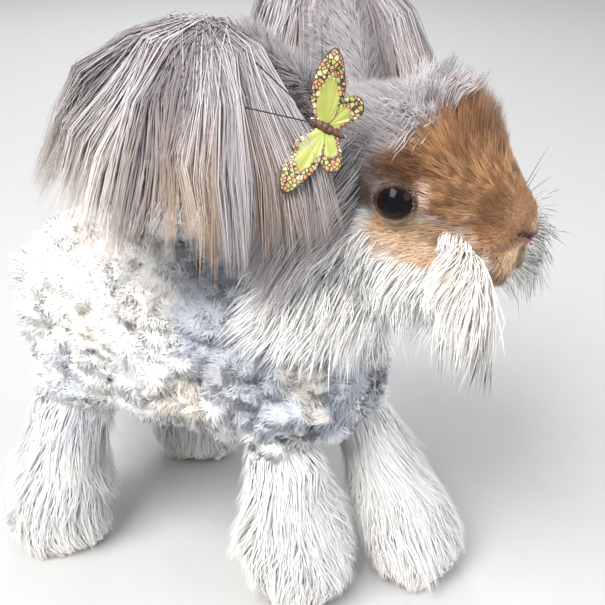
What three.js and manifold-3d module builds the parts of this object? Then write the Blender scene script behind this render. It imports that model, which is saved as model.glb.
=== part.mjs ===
// An English Angora rabbit, life size, standing still on its four feet, with a
// butterfly clip in the hair at the foot of its right ear.
// Millimetres, +Z up. The rabbit faces -Y and its left side is at +X.
// Every solid is the outline of the coat, out to the tips of the hair: clipped wool on
// the trunk, long hair on the ears, cheeks, lips and feet. Thin gaps part the solids.
import * as THREE from "three";
import Module from "manifold-3d";
import { mergeVertices } from "three/addons/utils/BufferGeometryUtils.js";

const wasm = await Module();
wasm.setup();

// Driving dimensions
const GAP = 0.4; // clear space between neighbouring solids
const EYE_RADIUS = 8.5;
const EYE_AT = [21.5, -100, 249]; // the left eye, the right one mirrors it
const LID_RADIUS = 7.8;
const LID_THICKNESS = 1.4;
const LID_PROUD = 4.6; // from the middle of the eye out to the plane of the lids
const NOSE_TIP = [0, -153, 237];
const NOSTRIL_SPREAD = 4.6;
const FLOOR_SIZE = 600; // of the block that trims the feet flat
const FLAT_HEIGHT = 3; // lowest hair tips, trimmed away to leave the flats

// Butterfly clip, in its own plane: x along the body towards the butterfly's head
const CLIP_AT = [-41.5, -79.3, 279.9];
const CLIP_FACING = [-0.85, -0.45, 0.3];
const CLIP_ROLL = 152; // degrees, from level to the way the butterfly heads
const CLIP_BODY = 15;
const CLIP_BODY_RADIUS = 2.1;
const WING_SWING = 8; // degrees the wings are turned about the body
const WING_LIFT = 12; // degrees each pair of wings is raised
const WING_THICKNESS = 0.7;
const FOREWING = 28.5;
const HINDWING = 15;
const ANTENNA_LENGTH = 31;
const ANTENNA_RADIUS = 0.35;
const ANTENNA_LIFT = [24, 40]; // degrees, of the upper and the lower one
const ANTENNA_SPREAD = 15;
const CLASP = [16, 3.6, 2];

// Colours, as the photo has them
const WOOL_WHITE = 0xf0eeea;
const EAR_LILAC = 0xb9b2b4;
const HEAD_TAN = 0xc99a6c;
const EYE_BROWN = 0x1d120d;
const WING_YELLOW = 0xc9cf55;
const CLIP_BROWN = 0x4a2a1c;
const CLIP_BLACK = 0x151312;
const CLASP_STEEL = 0xa9aaab;

const vec = (p) => new THREE.Vector3(...p);
const radians = THREE.MathUtils.degToRad;

// Points and triangles as a solid, turned to face out
function solid(points, faces) {
  const make = (triangles) =>
    new wasm.Manifold(
      new wasm.Mesh({
        numProp: 3,
        vertProperties: new Float32Array(points.flatMap((p) => p.toArray())),
        triVerts: new Uint32Array(triangles.flat()),
      }),
    );
  const made = make(faces);
  return made.volume() > 0 ? made : make(faces.map(([a, b, c]) => [a, c, b]));
}

// A three.js geometry as a solid
function fromGeometry(geometry) {
  const bare = geometry.clone();
  bare.deleteAttribute("normal");
  bare.deleteAttribute("uv");
  const merged = mergeVertices(bare, 1e-4);
  return new wasm.Manifold(
    new wasm.Mesh({
      numProp: 3,
      vertProperties: new Float32Array(merged.attributes.position.array),
      triVerts: new Uint32Array(merged.index.array),
    }),
  );
}

function toGeometry(made) {
  const mesh = made.getMesh();
  const geometry = new THREE.BufferGeometry();
  geometry.setAttribute("position", new THREE.BufferAttribute(new Float32Array(mesh.vertProperties), 3));
  geometry.setIndex(new THREE.BufferAttribute(new Uint32Array(mesh.triVerts), 1));
  const flat = geometry.toNonIndexed();
  flat.computeVertexNormals();
  return flat;
}

const joined = (solids) => solids.reduce((a, b) => a.add(b));
const mirrored = (stations) => stations.map((s) => ({ ...s, at: [-s.at[0], s.at[1], s.at[2]] }));
const ball = (at, radius, sectors, rings) =>
  fromGeometry(new THREE.SphereGeometry(radius, sectors, rings).translate(...at));

// A closed loft through stations along a smooth spine. Each station has its middle `at`,
// a half width `side` and half heights `up` and `down`. A dome `caps` long closes each end.
// `grow` swells it all round, and `ripple` waves the outline like locks of hair.
function loft(stations, { rings, sectors, caps, grow = 0, domeRings = 2, ripple = 0, ripples = 9 }) {
  const spine = new THREE.CatmullRomCurve3(stations.map((s) => vec(s.at)));
  const sized = (pick) => new THREE.CatmullRomCurve3(stations.map((s, i) => new THREE.Vector3(i, pick(s), 0)));
  const sizes = [sized((s) => s.side), sized((s) => s.up), sized((s) => s.down ?? s.up)];
  const sections = [];
  const addSection = (t, beyond, shrink) => {
    const tangent = spine.getTangent(t);
    const up = new THREE.Vector3().crossVectors(new THREE.Vector3(1, 0, 0), tangent).normalize();
    const side = new THREE.Vector3().crossVectors(tangent, up).normalize();
    const middle = spine.getPoint(t).addScaledVector(tangent, beyond);
    const [width, above, below] = sizes.map((size) => (size.getPoint(t).y + grow) * shrink);
    sections.push({ middle, up, side, width, above, below });
  };
  const dome = (i) => (Math.PI / 2) * (1 - i / (domeRings + 1));
  for (let i = 1; i <= domeRings; i++) addSection(0, -(caps[0] + grow) * Math.sin(dome(i)), Math.cos(dome(i)));
  for (let i = 0; i <= rings; i++) addSection(i / rings, 0, 1);
  for (let i = domeRings; i >= 1; i--) addSection(1, (caps[1] + grow) * Math.sin(dome(i)), Math.cos(dome(i)));
  const points = [];
  for (const { middle, up, side, width, above, below } of sections) {
    for (let j = 0; j < sectors; j++) {
      const angle = (2 * Math.PI * j) / sectors;
      const wave = 1 + ripple * Math.cos(ripples * angle);
      const height = Math.sin(angle) > 0 ? above : below;
      const across = side.clone().multiplyScalar(Math.cos(angle) * width * wave);
      points.push(across.addScaledVector(up, Math.sin(angle) * height * wave).add(middle));
    }
  }
  points.push(spine.getPoint(0).addScaledVector(spine.getTangent(0), -(caps[0] + grow)));
  points.push(spine.getPoint(1).addScaledVector(spine.getTangent(1), caps[1] + grow));
  return solid(points, tubeFaces(sections.length, sectors));
}

// Triangles of a tube of rings, closed by one point at each end
function tubeFaces(rings, sectors) {
  const faces = [];
  const firstEnd = rings * sectors;
  const lastRing = (rings - 1) * sectors;
  for (let j = 0; j < sectors; j++) {
    const next = (j + 1) % sectors;
    for (let a = 0; a < lastRing; a += sectors) {
      const b = a + sectors;
      faces.push([a + j, a + next, b + next], [a + j, b + next, b + j]);
    }
    faces.push([firstEnd, next, j], [firstEnd + 1, lastRing + j, lastRing + next]);
  }
  return faces;
}

// Trunk, from rump to chest
const TRUNK = [
  { at: [-4, 108, 134], side: 38, up: 42, down: 46 },
  { at: [-4, 86, 140], side: 52, up: 56, down: 57 },
  { at: [-3, 55, 143], side: 60, up: 61, down: 61 },
  { at: [-2, 15, 142], side: 60, up: 57, down: 60 },
  { at: [0, -25, 143], side: 54, up: 52, down: 57 },
  { at: [3, -58, 146], side: 44, up: 46, down: 52 },
];
const makeTrunk = (grow) => loft(TRUNK, { rings: 10, sectors: 18, caps: [32, 36], grow });

// Tail, a short puff turned up against the rump
const TAIL = [
  { at: [-2, 126, 104], side: 13, up: 12 },
  { at: [-2, 142, 114], side: 17, up: 15 },
  { at: [-2, 146, 130], side: 14, up: 11 },
];
const makeTail = (grow) => loft(TAIL, { rings: 4, sectors: 12, caps: [9, 11], grow });

// Neck, from the withers into the back of the head
const NECK = [
  { at: [1, -38, 176], side: 42, up: 36, down: 44 },
  { at: [1, -62, 204], side: 38, up: 38, down: 40 },
];
const makeNeck = (grow) => loft(NECK, { rings: 3, sectors: 16, caps: [32, 20], grow });

// Head: skull and muzzle, cheek ruff, the bushy hair of the lips and the tuft on the crown
const SKULL = [
  { at: [0, -60, 246], side: 32, up: 32, down: 38 },
  { at: [0, -84, 250], side: 33, up: 37, down: 42 },
  { at: [0, -104, 248], side: 26, up: 36, down: 40 },
  { at: [0, -126, 240], side: 21, up: 27, down: 29 },
  { at: [0, -142, 231], side: 16, up: 16, down: 18 },
];
const CHEEK = [
  { at: [26, -70, 222], side: 20, up: 24, down: 26 },
  { at: [34, -88, 213], side: 22, up: 26, down: 29 },
  { at: [33, -108, 211], side: 20, up: 21, down: 27 },
  { at: [27, -126, 212], side: 15, up: 16, down: 21 },
];
const LIP_TUFT = [
  { at: [14, -134, 238], side: 10, up: 12 },
  { at: [27, -146, 230], side: 13, up: 13 },
  { at: [28, -146, 211], side: 11, up: 11 },
  { at: [26, -143, 198], side: 6, up: 6 },
];
const CHIN = [
  { at: [0, -118, 216], side: 14, up: 12 },
  { at: [0, -136, 217], side: 10, up: 9 },
];
const CROWN_TUFT = [
  { at: [0, -76, 280], side: 21, up: 15 },
  { at: [0, -98, 289], side: 16, up: 12 },
  { at: [0, -114, 295], side: 8, up: 6 },
];

function makeHead(grow) {
  const cheek = { rings: 5, sectors: 10, caps: [12, 10], grow };
  const lip = { rings: 4, sectors: 8, caps: [5, 7], grow };
  return joined([
    loft(SKULL, { rings: 9, sectors: 18, caps: [16, 10], grow }),
    loft(CHEEK, cheek),
    loft(mirrored(CHEEK), cheek),
    loft(LIP_TUFT, lip),
    loft(mirrored(LIP_TUFT), lip),
    loft(CHIN, { rings: 2, sectors: 10, caps: [6, 6], grow }),
    loft(CROWN_TUFT, { rings: 4, sectors: 10, caps: [10, 6], grow }),
    nosePad(grow),
    lidRing(1, grow),
    lidRing(-1, grow),
  ]);
}

// The split pad of the nose, a little proud of the muzzle
function nosePad(grow) {
  const [x, y, z] = NOSE_TIP;
  const pad = new THREE.SphereGeometry(1, 10, 6).scale(6.6 + grow, 4.5 + grow, 4.6 + grow);
  return fromGeometry(pad.translate(x, y + 2, z));
}

// Rim of the eyelids on one side of the head, sloping with the eye
function lidRing(side, grow) {
  const ring = new THREE.TorusGeometry(LID_RADIUS, LID_THICKNESS + grow, 5, 12);
  ring.rotateY(radians(90 * side)).rotateZ(radians(-14 * side));
  return fromGeometry(ring.translate(side * (EYE_AT[0] + LID_PROUD), EYE_AT[1], EYE_AT[2]));
}

// Nostrils and the line of the mouth, cut out of the front of the muzzle
function faceCuts() {
  const [, y, z] = NOSE_TIP;
  const nostril = (side) =>
    fromGeometry(
      new THREE.SphereGeometry(1, 8, 6)
        .scale(2.2, 2.4, 1.0)
        .rotateY(radians(side * -38))
        .translate(side * NOSTRIL_SPREAD, y - 1.4, z + 0.6),
    );
  const cleft = fromGeometry(new THREE.BoxGeometry(1.1, 7, 7.5).translate(0, y, z - 7));
  return joined([nostril(1), nostril(-1), cleft]);
}

// Ears, each hidden in its long tassel of hair, laid back on the right and up on the left
const EAR_RIGHT = [
  { at: [-26, -72, 262], side: 14, up: 18, down: 22 },
  { at: [-40, -46, 272], side: 25, up: 32, down: 42 },
  { at: [-50, -14, 274], side: 32, up: 43, down: 48 },
  { at: [-54, 20, 266], side: 32, up: 39, down: 43 },
  { at: [-54, 44, 254], side: 23, up: 26, down: 29 },
];
const EAR_LEFT = [
  { at: [36, -86, 282], side: 14, up: 13, down: 14 },
  { at: [44, -62, 294], side: 26, up: 28, down: 34 },
  { at: [54, -34, 298], side: 32, up: 33, down: 48 },
  { at: [58, -8, 290], side: 30, up: 32, down: 48 },
  { at: [58, 12, 282], side: 22, up: 22, down: 34 },
];
const makeEar = (stations) => (grow) =>
  loft(stations, { rings: 9, sectors: 20, caps: [12, 16], grow, ripple: 0.03, ripples: 10 });

// Legs: the clipped upper leg, then the bell of long hair that hides the foot
const FORE_RIGHT = {
  leg: [
    { at: [-30, -46, 134], side: 26, up: 32 },
    { at: [-30, -49, 112], side: 23, up: 27 },
    { at: [-29, -50, 92], side: 20, up: 22 },
  ],
  bell: [
    { at: [-28, -51, 84], side: 22, up: 25 },
    { at: [-26, -53, 50], side: 31, up: 33 },
    { at: [-23, -54, 18], side: 31, up: 33 },
  ],
};
const FORE_LEFT = {
  leg: [
    { at: [30, -48, 134], side: 26, up: 32 },
    { at: [26, -60, 114], side: 22, up: 25 },
    { at: [22, -72, 94], side: 18, up: 19 },
  ],
  bell: [
    { at: [21, -76, 84], side: 20, up: 22 },
    { at: [24, -94, 48], side: 30, up: 31 },
    { at: [26, -104, 18], side: 31, up: 32 },
  ],
};
const HIND_RIGHT = {
  leg: [
    { at: [-36, 72, 138], side: 28, up: 40 },
    { at: [-43, 72, 112], side: 25, up: 34 },
    { at: [-50, 76, 88], side: 21, up: 24 },
  ],
  bell: [
    { at: [-52, 78, 84], side: 21, up: 24 },
    { at: [-57, 85, 50], side: 30, up: 32 },
    { at: [-60, 94, 18], side: 31, up: 36 },
  ],
};
const HIND_LEFT = {
  leg: [
    { at: [30, 72, 138], side: 28, up: 40 },
    { at: [36, 70, 112], side: 25, up: 34 },
    { at: [42, 70, 88], side: 21, up: 24 },
  ],
  bell: [
    { at: [43, 70, 84], side: 21, up: 24 },
    { at: [46, 66, 50], side: 30, up: 32 },
    { at: [47, 66, 18], side: 31, up: 36 },
  ],
};
const makeLeg = ({ leg, bell }) => (grow) =>
  joined([
    loft(leg, { rings: 4, sectors: 14, caps: [14, 16], grow }),
    loft(bell, { rings: 6, sectors: 18, caps: [8, 18 + FLAT_HEIGHT], grow, ripple: 0.025, ripples: 9 }),
  ]);

// Butterfly clip, built flat at the origin and then placed
const clipPlace = (() => {
  const facing = vec(CLIP_FACING).normalize();
  const level = new THREE.Vector3(0, 0, 1).cross(facing).normalize();
  const upright = new THREE.Vector3().crossVectors(facing, level);
  const turned = new THREE.Matrix4().makeBasis(level, upright, facing);
  turned.setPosition(...CLIP_AT);
  return turned.multiply(new THREE.Matrix4().makeRotationZ(radians(CLIP_ROLL)));
})();
const placed = (geometry) => fromGeometry(geometry.applyMatrix4(clipPlace));

// Ribbed body of the butterfly
function clipBody(grow) {
  const ribs = 7;
  const steps = ribs * 2;
  const half = CLIP_BODY / 2 + grow;
  const profile = [new THREE.Vector2(0, -half)];
  for (let i = 1; i < steps; i++) {
    const along = i / steps;
    const swell = 0.45 + 0.55 * Math.sin(Math.PI * Math.pow(along, 0.8));
    const rib = i % 2 ? 1 : 0.82;
    profile.push(new THREE.Vector2(CLIP_BODY_RADIUS * swell * rib + grow, half * (2 * along - 1)));
  }
  profile.push(new THREE.Vector2(0, half));
  return placed(new THREE.LatheGeometry(profile, 8).rotateZ(radians(-90)));
}

// The fore and hind wing of one side, whose roots overlap
function clipWings(side, grow) {
  const root = CLIP_BODY_RADIUS * 0.6;
  const fore = new THREE.Shape();
  fore.moveTo(4.5, root);
  fore.bezierCurveTo(10, 9, 13, 20, 8, FOREWING);
  fore.bezierCurveTo(5, FOREWING, 0, 24, -1, 16);
  fore.bezierCurveTo(-1.5, 10, -1, 5, -0.5, root);
  const hind = new THREE.Shape();
  hind.moveTo(0.5, root);
  hind.bezierCurveTo(1, 6, 0, 11, -3, HINDWING - 1);
  hind.bezierCurveTo(-6, HINDWING + 1, -10, HINDWING, -10, 10);
  hind.bezierCurveTo(-9, 7, -6, 4, -4, root);
  const thickness = WING_THICKNESS + 2 * grow;
  const plates = [fore, hind].map((shape) => {
    const plate = new THREE.ExtrudeGeometry(shape, { depth: thickness, bevelEnabled: false, curveSegments: 5 });
    plate.translate(0, 0, -thickness / 2).rotateX(radians(side * WING_LIFT));
    if (side < 0) plate.rotateX(Math.PI);
    return placed(plate.rotateZ(radians(WING_SWING)));
  });
  return joined(plates);
}

// One antenna, a thin rod that rises a little over the hair
function clipAntenna(side, grow) {
  const radius = ANTENNA_RADIUS + grow;
  const rod = new THREE.CylinderGeometry(radius, radius, ANTENNA_LENGTH, 6);
  rod.translate(0, ANTENNA_LENGTH / 2, 0).rotateX(radians(ANTENNA_LIFT[side < 0 ? 0 : 1]));
  rod.rotateZ(radians(-90 + side * ANTENNA_SPREAD));
  return placed(rod.translate(CLIP_BODY / 2 - 1, side * 0.9, 0.6));
}

// The spring clasp that holds the butterfly in the hair
function clipClasp(grow) {
  const size = CLASP.map((length) => length + 2 * grow);
  return placed(new THREE.BoxGeometry(...size).translate(0, 0, -CLIP_BODY_RADIUS - GAP - CLASP[2] / 2));
}

// Everything, each solid cut back from the ones placed before it
const floor = fromGeometry(
  new THREE.BoxGeometry(FLOOR_SIZE, FLOOR_SIZE, 100).translate(0, 0, -50),
);
const rabbit = new THREE.Group();
const taken = [];
function place(name, make, color, roughness, metalness = 0) {
  let made = make(0).subtract(floor);
  for (const other of taken) made = made.subtract(other);
  const [whole] = made.decompose().sort((a, b) => b.volume() - a.volume());
  const material = new THREE.MeshStandardMaterial({ color, roughness, metalness });
  const mesh = new THREE.Mesh(toGeometry(whole), material);
  mesh.name = name;
  rabbit.add(mesh);
  taken.push(make(GAP));
}

const eyeAt = (side) => [side * EYE_AT[0], EYE_AT[1], EYE_AT[2]];
place("eye_right", (grow) => ball(eyeAt(-1), EYE_RADIUS + grow, 14, 8), EYE_BROWN, 0.08);
place("eye_left", (grow) => ball(eyeAt(1), EYE_RADIUS + grow, 14, 8), EYE_BROWN, 0.08);
place("clip_clasp", clipClasp, CLASP_STEEL, 0.35, 0.9);
place("head", (grow) => (grow ? makeHead(grow) : makeHead(0).subtract(faceCuts())), HEAD_TAN, 0.9);
place("trunk", makeTrunk, WOOL_WHITE, 0.95);
place("neck", makeNeck, WOOL_WHITE, 0.95);
place("ear_right", makeEar(EAR_RIGHT), EAR_LILAC, 0.9);
place("ear_left", makeEar(EAR_LEFT), EAR_LILAC, 0.9);
place("foreleg_right", makeLeg(FORE_RIGHT), WOOL_WHITE, 0.95);
place("foreleg_left", makeLeg(FORE_LEFT), WOOL_WHITE, 0.95);
place("hindleg_right", makeLeg(HIND_RIGHT), WOOL_WHITE, 0.95);
place("hindleg_left", makeLeg(HIND_LEFT), WOOL_WHITE, 0.95);
place("tail", makeTail, WOOL_WHITE, 0.95);
place("clip_body", clipBody, CLIP_BROWN, 0.6);
place("clip_wings_upper", (grow) => clipWings(-1, grow), WING_YELLOW, 0.45);
place("clip_wings_lower", (grow) => clipWings(1, grow), WING_YELLOW, 0.45);
place("clip_antenna_upper", (grow) => clipAntenna(-1, grow), CLIP_BLACK, 0.5);
place("clip_antenna_lower", (grow) => clipAntenna(1, grow), CLIP_BLACK, 0.5);

// The origin is on the floor, under the middle of the whole rabbit
const middle = new THREE.Box3().setFromObject(rabbit).getCenter(new THREE.Vector3());
for (const mesh of rabbit.children) mesh.geometry.translate(-middle.x, -middle.y, 0);

export default rabbit;
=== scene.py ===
"""A standing English Angora rabbit with a butterfly clip: skin, coat, eyes, clip, light and camera.

Shapes are worked out in millimetres in the part's own frame (the rabbit faces -Y, its left side
is +X, the floor is at 0) and put into the row frame, in metres, as they become meshes.
"""

import math

import bmesh
import bpy
import numpy as np
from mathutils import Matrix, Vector
from mathutils.kdtree import KDTree


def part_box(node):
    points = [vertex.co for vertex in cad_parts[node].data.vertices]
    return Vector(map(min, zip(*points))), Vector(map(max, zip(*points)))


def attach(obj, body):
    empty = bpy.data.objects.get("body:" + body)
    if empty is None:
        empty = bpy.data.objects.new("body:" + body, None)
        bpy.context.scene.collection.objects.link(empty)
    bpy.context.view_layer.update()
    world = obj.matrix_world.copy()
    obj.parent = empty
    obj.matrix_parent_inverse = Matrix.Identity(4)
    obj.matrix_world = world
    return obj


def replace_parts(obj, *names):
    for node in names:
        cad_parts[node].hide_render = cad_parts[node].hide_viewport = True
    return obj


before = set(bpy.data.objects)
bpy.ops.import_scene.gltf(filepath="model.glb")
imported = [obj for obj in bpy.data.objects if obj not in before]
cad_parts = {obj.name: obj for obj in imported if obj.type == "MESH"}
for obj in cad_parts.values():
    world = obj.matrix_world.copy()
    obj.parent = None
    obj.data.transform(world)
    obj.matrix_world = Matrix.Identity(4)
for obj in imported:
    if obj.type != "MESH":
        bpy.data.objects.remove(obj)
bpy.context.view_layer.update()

MM = 0.001
DENSITY = 1.0
DOWN = np.array([0.0, 0.0, -1.0])

# The eyes, which also tie the millimetre frame to the row frame
EYE_RADIUS = 8.5
EYE_AT = np.array([21.5, -100.0, 249.0])
EYE_AIM = np.array([0.95, -0.28, 0.06])
eye_low, eye_high = (np.array(corner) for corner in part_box("eye_right"))
MIDDLE = EYE_AT * [-1, 1, 1] - (eye_low + eye_high) / 2 / MM
MIDDLE[2] = 0

# Colours, in sRGB
WHITE = (0.93, 0.925, 0.92)
CREAM = (0.90, 0.86, 0.79)
# Painted shade: a white greyed a little for the long hair of the lips
SHADED_LIP_WHITE = (0.89, 0.88, 0.86)
ASH = (0.60, 0.58, 0.59)
BEIGE = (0.71, 0.62, 0.52)
FAWN = (0.77, 0.62, 0.47)
BLUE_GREY = (0.74, 0.76, 0.80)
SLATE = (0.37, 0.39, 0.44)
LILAC = (0.44, 0.41, 0.42)
SILVER = (0.70, 0.68, 0.69)
TAUPE = (0.36, 0.31, 0.30)
ORANGE = (0.64, 0.48, 0.335)
RUST = (0.40, 0.265, 0.17)
DARK_BROWN = (0.28, 0.18, 0.12)
UMBER = (0.16, 0.11, 0.09)
PINK = (0.54, 0.36, 0.35)
TOE_BEIGE = (0.80, 0.74, 0.66)
EYE_CORNER = (0.86, 0.74, 0.67)
MUZZLE_TOP = (0.55, 0.40, 0.27)
MUZZLE_SIDE = (0.54, 0.39, 0.26)
LIP_BEIGE = (0.90, 0.76, 0.60)
# Painted shade inside the nostril slits
NOSTRIL_SHADE = (0.22, 0.11, 0.12)
LIP_BROWN = (0.42, 0.28, 0.24)
WHISKER_BROWN = (0.16, 0.14, 0.13)


def linear(color):
    """An sRGB colour as linear values."""
    c = np.array(color, float)
    return np.where(c <= 0.04045, c / 12.92, ((c + 0.055) / 1.055) ** 2.4)


def unit(vectors):
    return vectors / np.maximum(np.linalg.norm(vectors, axis=-1, keepdims=True), 1e-9)


def to_row(points):
    """Millimetres in the part's frame to metres in the row frame."""
    return (np.asarray(points, float) - MIDDLE) * MM


def smoothstep(low, high, x):
    t = np.clip((x - low) / (high - low), 0, 1)
    return t * t * (3 - 2 * t)


def noise(points, scale, seed=0):
    """Smooth noise from -1 to 1, with blobs about `scale` millimetres across."""
    p = np.asarray(points, float) / scale + 7.31 * seed
    cell = np.floor(p).astype(np.int64)
    f = p - cell
    f = f * f * (3 - 2 * f)
    total = np.zeros(p.shape[:-1])
    for corner in range(8):
        step = np.array([corner & 1, corner >> 1 & 1, corner >> 2])
        c = cell + step
        h = c[..., 0] * 374761393 + c[..., 1] * 668265263 + c[..., 2] * 1442695041 + seed * 97463
        h = (h ^ (h >> 13)) * 1274126177
        h = (h ^ (h >> 16)) & 0xFFFF
        total += np.prod(np.where(step, f, 1 - f), axis=-1) * h
    return np.clip(1.8 * (total / 32767.5 - 1), -1, 1)


# Lofts

def smooth_rows(rows, count):
    """`count` rows along a smooth curve through the given rows."""
    rows = np.array(rows, float)
    padded = np.vstack([2 * rows[0] - rows[1], rows, 2 * rows[-1] - rows[-2]])
    t = np.linspace(0, len(rows) - 1, count)
    i = np.minimum(t.astype(int), len(rows) - 2)
    f = (t - i)[:, None]
    a, b, c, d = (padded[i + k] for k in range(4))
    square = 2 * a - 5 * b + 4 * c - d
    cube = 3 * b - a - 3 * c + d
    return 0.5 * (2 * b + (c - a) * f + square * f**2 + cube * f**3)


def loft(rows, caps, rings=14, sectors=24):
    """(points, faces) of a closed loft. A row is x, y, z, half width, height above, height below."""
    rows = smooth_rows(rows, rings)
    middles = rows[:, :3]
    tangents = unit(np.gradient(middles, axis=0))
    ends = []
    for end, sign in ((0, -1), (-1, 1)):
        dome = []
        for angle in np.radians([25, 50, 72]):
            shrink = math.cos(angle)
            at = middles[end] + tangents[end] * sign * caps[end] * math.sin(angle)
            dome.append((at, tangents[end], rows[end, 3:] * shrink))
        ends.append(dome)
    body = list(zip(middles, tangents, rows[:, 3:]))
    sections = ends[0][::-1] + body + ends[1]
    angles = np.arange(sectors) * 2 * math.pi / sectors
    points = []
    for at, tangent, (width, above, below) in sections:
        up = unit(np.array([0, tangent[2], -tangent[1]]))
        side = np.cross(tangent, up)
        height = np.where(np.sin(angles) > 0, above, below) * np.sin(angles)
        points.append(at + np.outer(np.cos(angles) * width, side) + np.outer(height, up))
    tips = [middles[0] - tangents[0] * caps[0], middles[-1] + tangents[-1] * caps[1]]
    points = np.vstack(points + [tips])
    faces = []
    last = (len(sections) - 1) * sectors
    for j in range(sectors):
        after = (j + 1) % sectors
        for a in range(0, last, sectors):
            b = a + sectors
            faces.append((a + j, b + j, b + after, a + after))
        faces.append((len(points) - 2, j, after))
        faces.append((len(points) - 1, last + after, last + j))
    return points, faces


def mirror(rows):
    rows = np.array(rows, float)
    rows[:, 0] *= -1
    return rows


# The body under the coat: rows of x, y, z, half width, height above, height below
TRUNK = [
    (-4, 107, 134, 33, 37, 36),
    (-4, 86, 140, 45, 49, 49),
    (-3, 54, 143, 53, 54, 54),
    (-2, 14, 142, 53, 50, 52),
    (0, -26, 143, 47, 46, 47),
    (3, -58, 146, 37, 40, 42),
]
TAIL = [(-2, 116, 122, 9, 8, 8), (-2, 132, 116, 8, 7, 7), (-2, 140, 124, 5, 5, 5)]
NECK = [(1, -34, 168, 32, 31, 33), (1, -56, 196, 28, 30, 31), (0, -68, 226, 25, 24, 25)]
SKULL = [
    (0, -62, 246, 23, 27, 24),
    (0, -82, 251, 25.5, 32, 30),
    (0, -104, 248, 24, 39, 31),
    (0, -124, 243, 19, 27, 24),
    (0, -141, 236, 15, 16, 16),
]
JAW = [(14, -76, 230, 14, 14, 14), (13, -98, 224, 13, 12, 12), (9, -122, 222, 10, 9, 9)]
BROW = [(14, -90, 262, 8, 7, 7), (17, -101, 260, 6, 5, 5), (14, -112, 256, 5, 4, 4)]
LIP = [(8, -130, 229, 12, 12, 12), (10, -142, 228, 12, 12, 11.5)]
CHIN = [(0, -118, 214, 9, 8, 7), (0, -138, 215, 7, 6, 6)]
NOSE = [(0, -144, 238, 8, 8, 7), (0, -150, 238, 6.4, 5.6, 5)]
EAR_RIGHT = [(-13, -66, 266, 9, 8, 8), (-27, -52, 286, 6, 13, 13), (-38, -36, 303, 5, 12, 12)]
EAR_LEFT = [(13, -66, 266, 9, 8, 8), (27, -50, 288, 6, 13, 13), (40, -36, 305, 5, 12, 12)]
# Each part with the lengths of its rounded ends, and whether its mirror image is there too
SKIN_PARTS = [
    (TRUNK, (20, 22), False),
    (TAIL, (4, 5), False),
    (NECK, (14, 10), False),
    (SKULL, (12, 8), False),
    (JAW, (10, 8), True),
    (BROW, (5, 4), True),
    (LIP, (6, 5), True),
    (CHIN, (5, 4), False),
    (NOSE, (4, 3), False),
    (EAR_RIGHT, (6, 8), False),
    (EAR_LEFT, (6, 8), False),
]
LEG_CAPS = (8, 6)
TOE_CAPS = (5, 2.5)


def leg_rows(hip, knee, ankle, sizes):
    """Rows down a leg from three joints."""
    return [(*joint, *size) for joint, size in zip((hip, knee, ankle), sizes)]


FORE_SIZES = [(13, 20, 20), (9, 10, 10), (8, 8, 8)]
HIND_SIZES = [(18, 32, 30), (13, 20, 20), (8, 9, 9)]
LEGS = {
    "foreleg_right": leg_rows((-28, -46, 134), (-29, -50, 92), (-24, -54, 14), FORE_SIZES),
    "foreleg_left": leg_rows((28, -48, 134), (22, -72, 92), (26, -102, 14), FORE_SIZES),
    "hindleg_right": leg_rows((-32, 72, 136), (-48, 76, 88), (-59, 100, 20), HIND_SIZES),
    "hindleg_left": leg_rows((28, 72, 136), (42, 70, 88), (47, 74, 20), HIND_SIZES),
}
# Soles: x and y of the heel and of the toes
SOLES = {
    "foreleg_right": ((-24, -48), (-22, -64)),
    "foreleg_left": ((26, -98), (27, -116)),
    "hindleg_right": ((-60, 104), (-54, 72)),
    "hindleg_left": ((47, 84), (47, 50)),
}
SOLE_HEIGHT = 7.5
TOE_PITCH = 4.4
TOE_LENGTH = 8


def foot_parts(heel, toes):
    """The sole of a foot and its four toes, as rows."""
    heel, toes = np.array(heel, float), np.array(toes, float)
    ahead = unit(toes - heel)
    aside = np.array([-ahead[1], ahead[0]])
    parts = [[(*heel, SOLE_HEIGHT, 7, 6, 6), (*toes, SOLE_HEIGHT, 8.5, 6, 6)]]
    for spread in (-1.5, -0.5, 0.5, 1.5):
        root = toes + aside * spread * TOE_PITCH
        tip = root + ahead * (TOE_LENGTH - abs(spread) * 1.6) + aside * spread
        parts.append([(*root, 6, 2.6, 3, 3), (*tip, 4.6, 2.2, 2.4, 2.4)])
    return parts


def skin_sources():
    """Every loft that the skin is moulded from."""
    sources = []
    for rows, caps, paired in SKIN_PARTS:
        sources.append(loft(rows, caps))
        if paired:
            sources.append(loft(mirror(rows), caps))
    for name, rows in LEGS.items():
        sources.append(loft(rows, LEG_CAPS))
        sources += [loft(part, TOE_CAPS, 5, 12) for part in foot_parts(*SOLES[name])]
    return sources


# Meshes

def new_object(name, mesh):
    made = bpy.data.objects.new(name, mesh)
    bpy.context.scene.collection.objects.link(made)
    return made


def evaluated_mesh(made):
    """The mesh of an object with its modifiers applied, as a new mesh."""
    graph = bpy.context.evaluated_depsgraph_get()
    return bpy.data.meshes.new_from_object(made.evaluated_get(graph))


def coordinates(mesh):
    values = np.empty(len(mesh.vertices) * 3, np.float32)
    mesh.vertices.foreach_get("co", values)
    return values.reshape(-1, 3).astype(float)


def set_coordinates(mesh, points):
    mesh.vertices.foreach_set("co", np.ascontiguousarray(points, np.float32).ravel())
    mesh.update()


def triangle_mesh(name, points, triangles):
    """A smooth mesh of triangles from arrays."""
    mesh = bpy.data.meshes.new(name)
    count = len(triangles)
    mesh.vertices.add(len(points))
    mesh.vertices.foreach_set("co", np.ascontiguousarray(points, np.float32).ravel())
    mesh.loops.add(count * 3)
    mesh.loops.foreach_set("vertex_index", np.ascontiguousarray(triangles, np.int32).ravel())
    mesh.polygons.add(count)
    mesh.polygons.foreach_set("loop_start", np.arange(count, dtype=np.int32) * 3)
    mesh.polygons.foreach_set("use_smooth", np.ones(count, bool))
    mesh.update(calc_edges=True)
    return mesh


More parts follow.
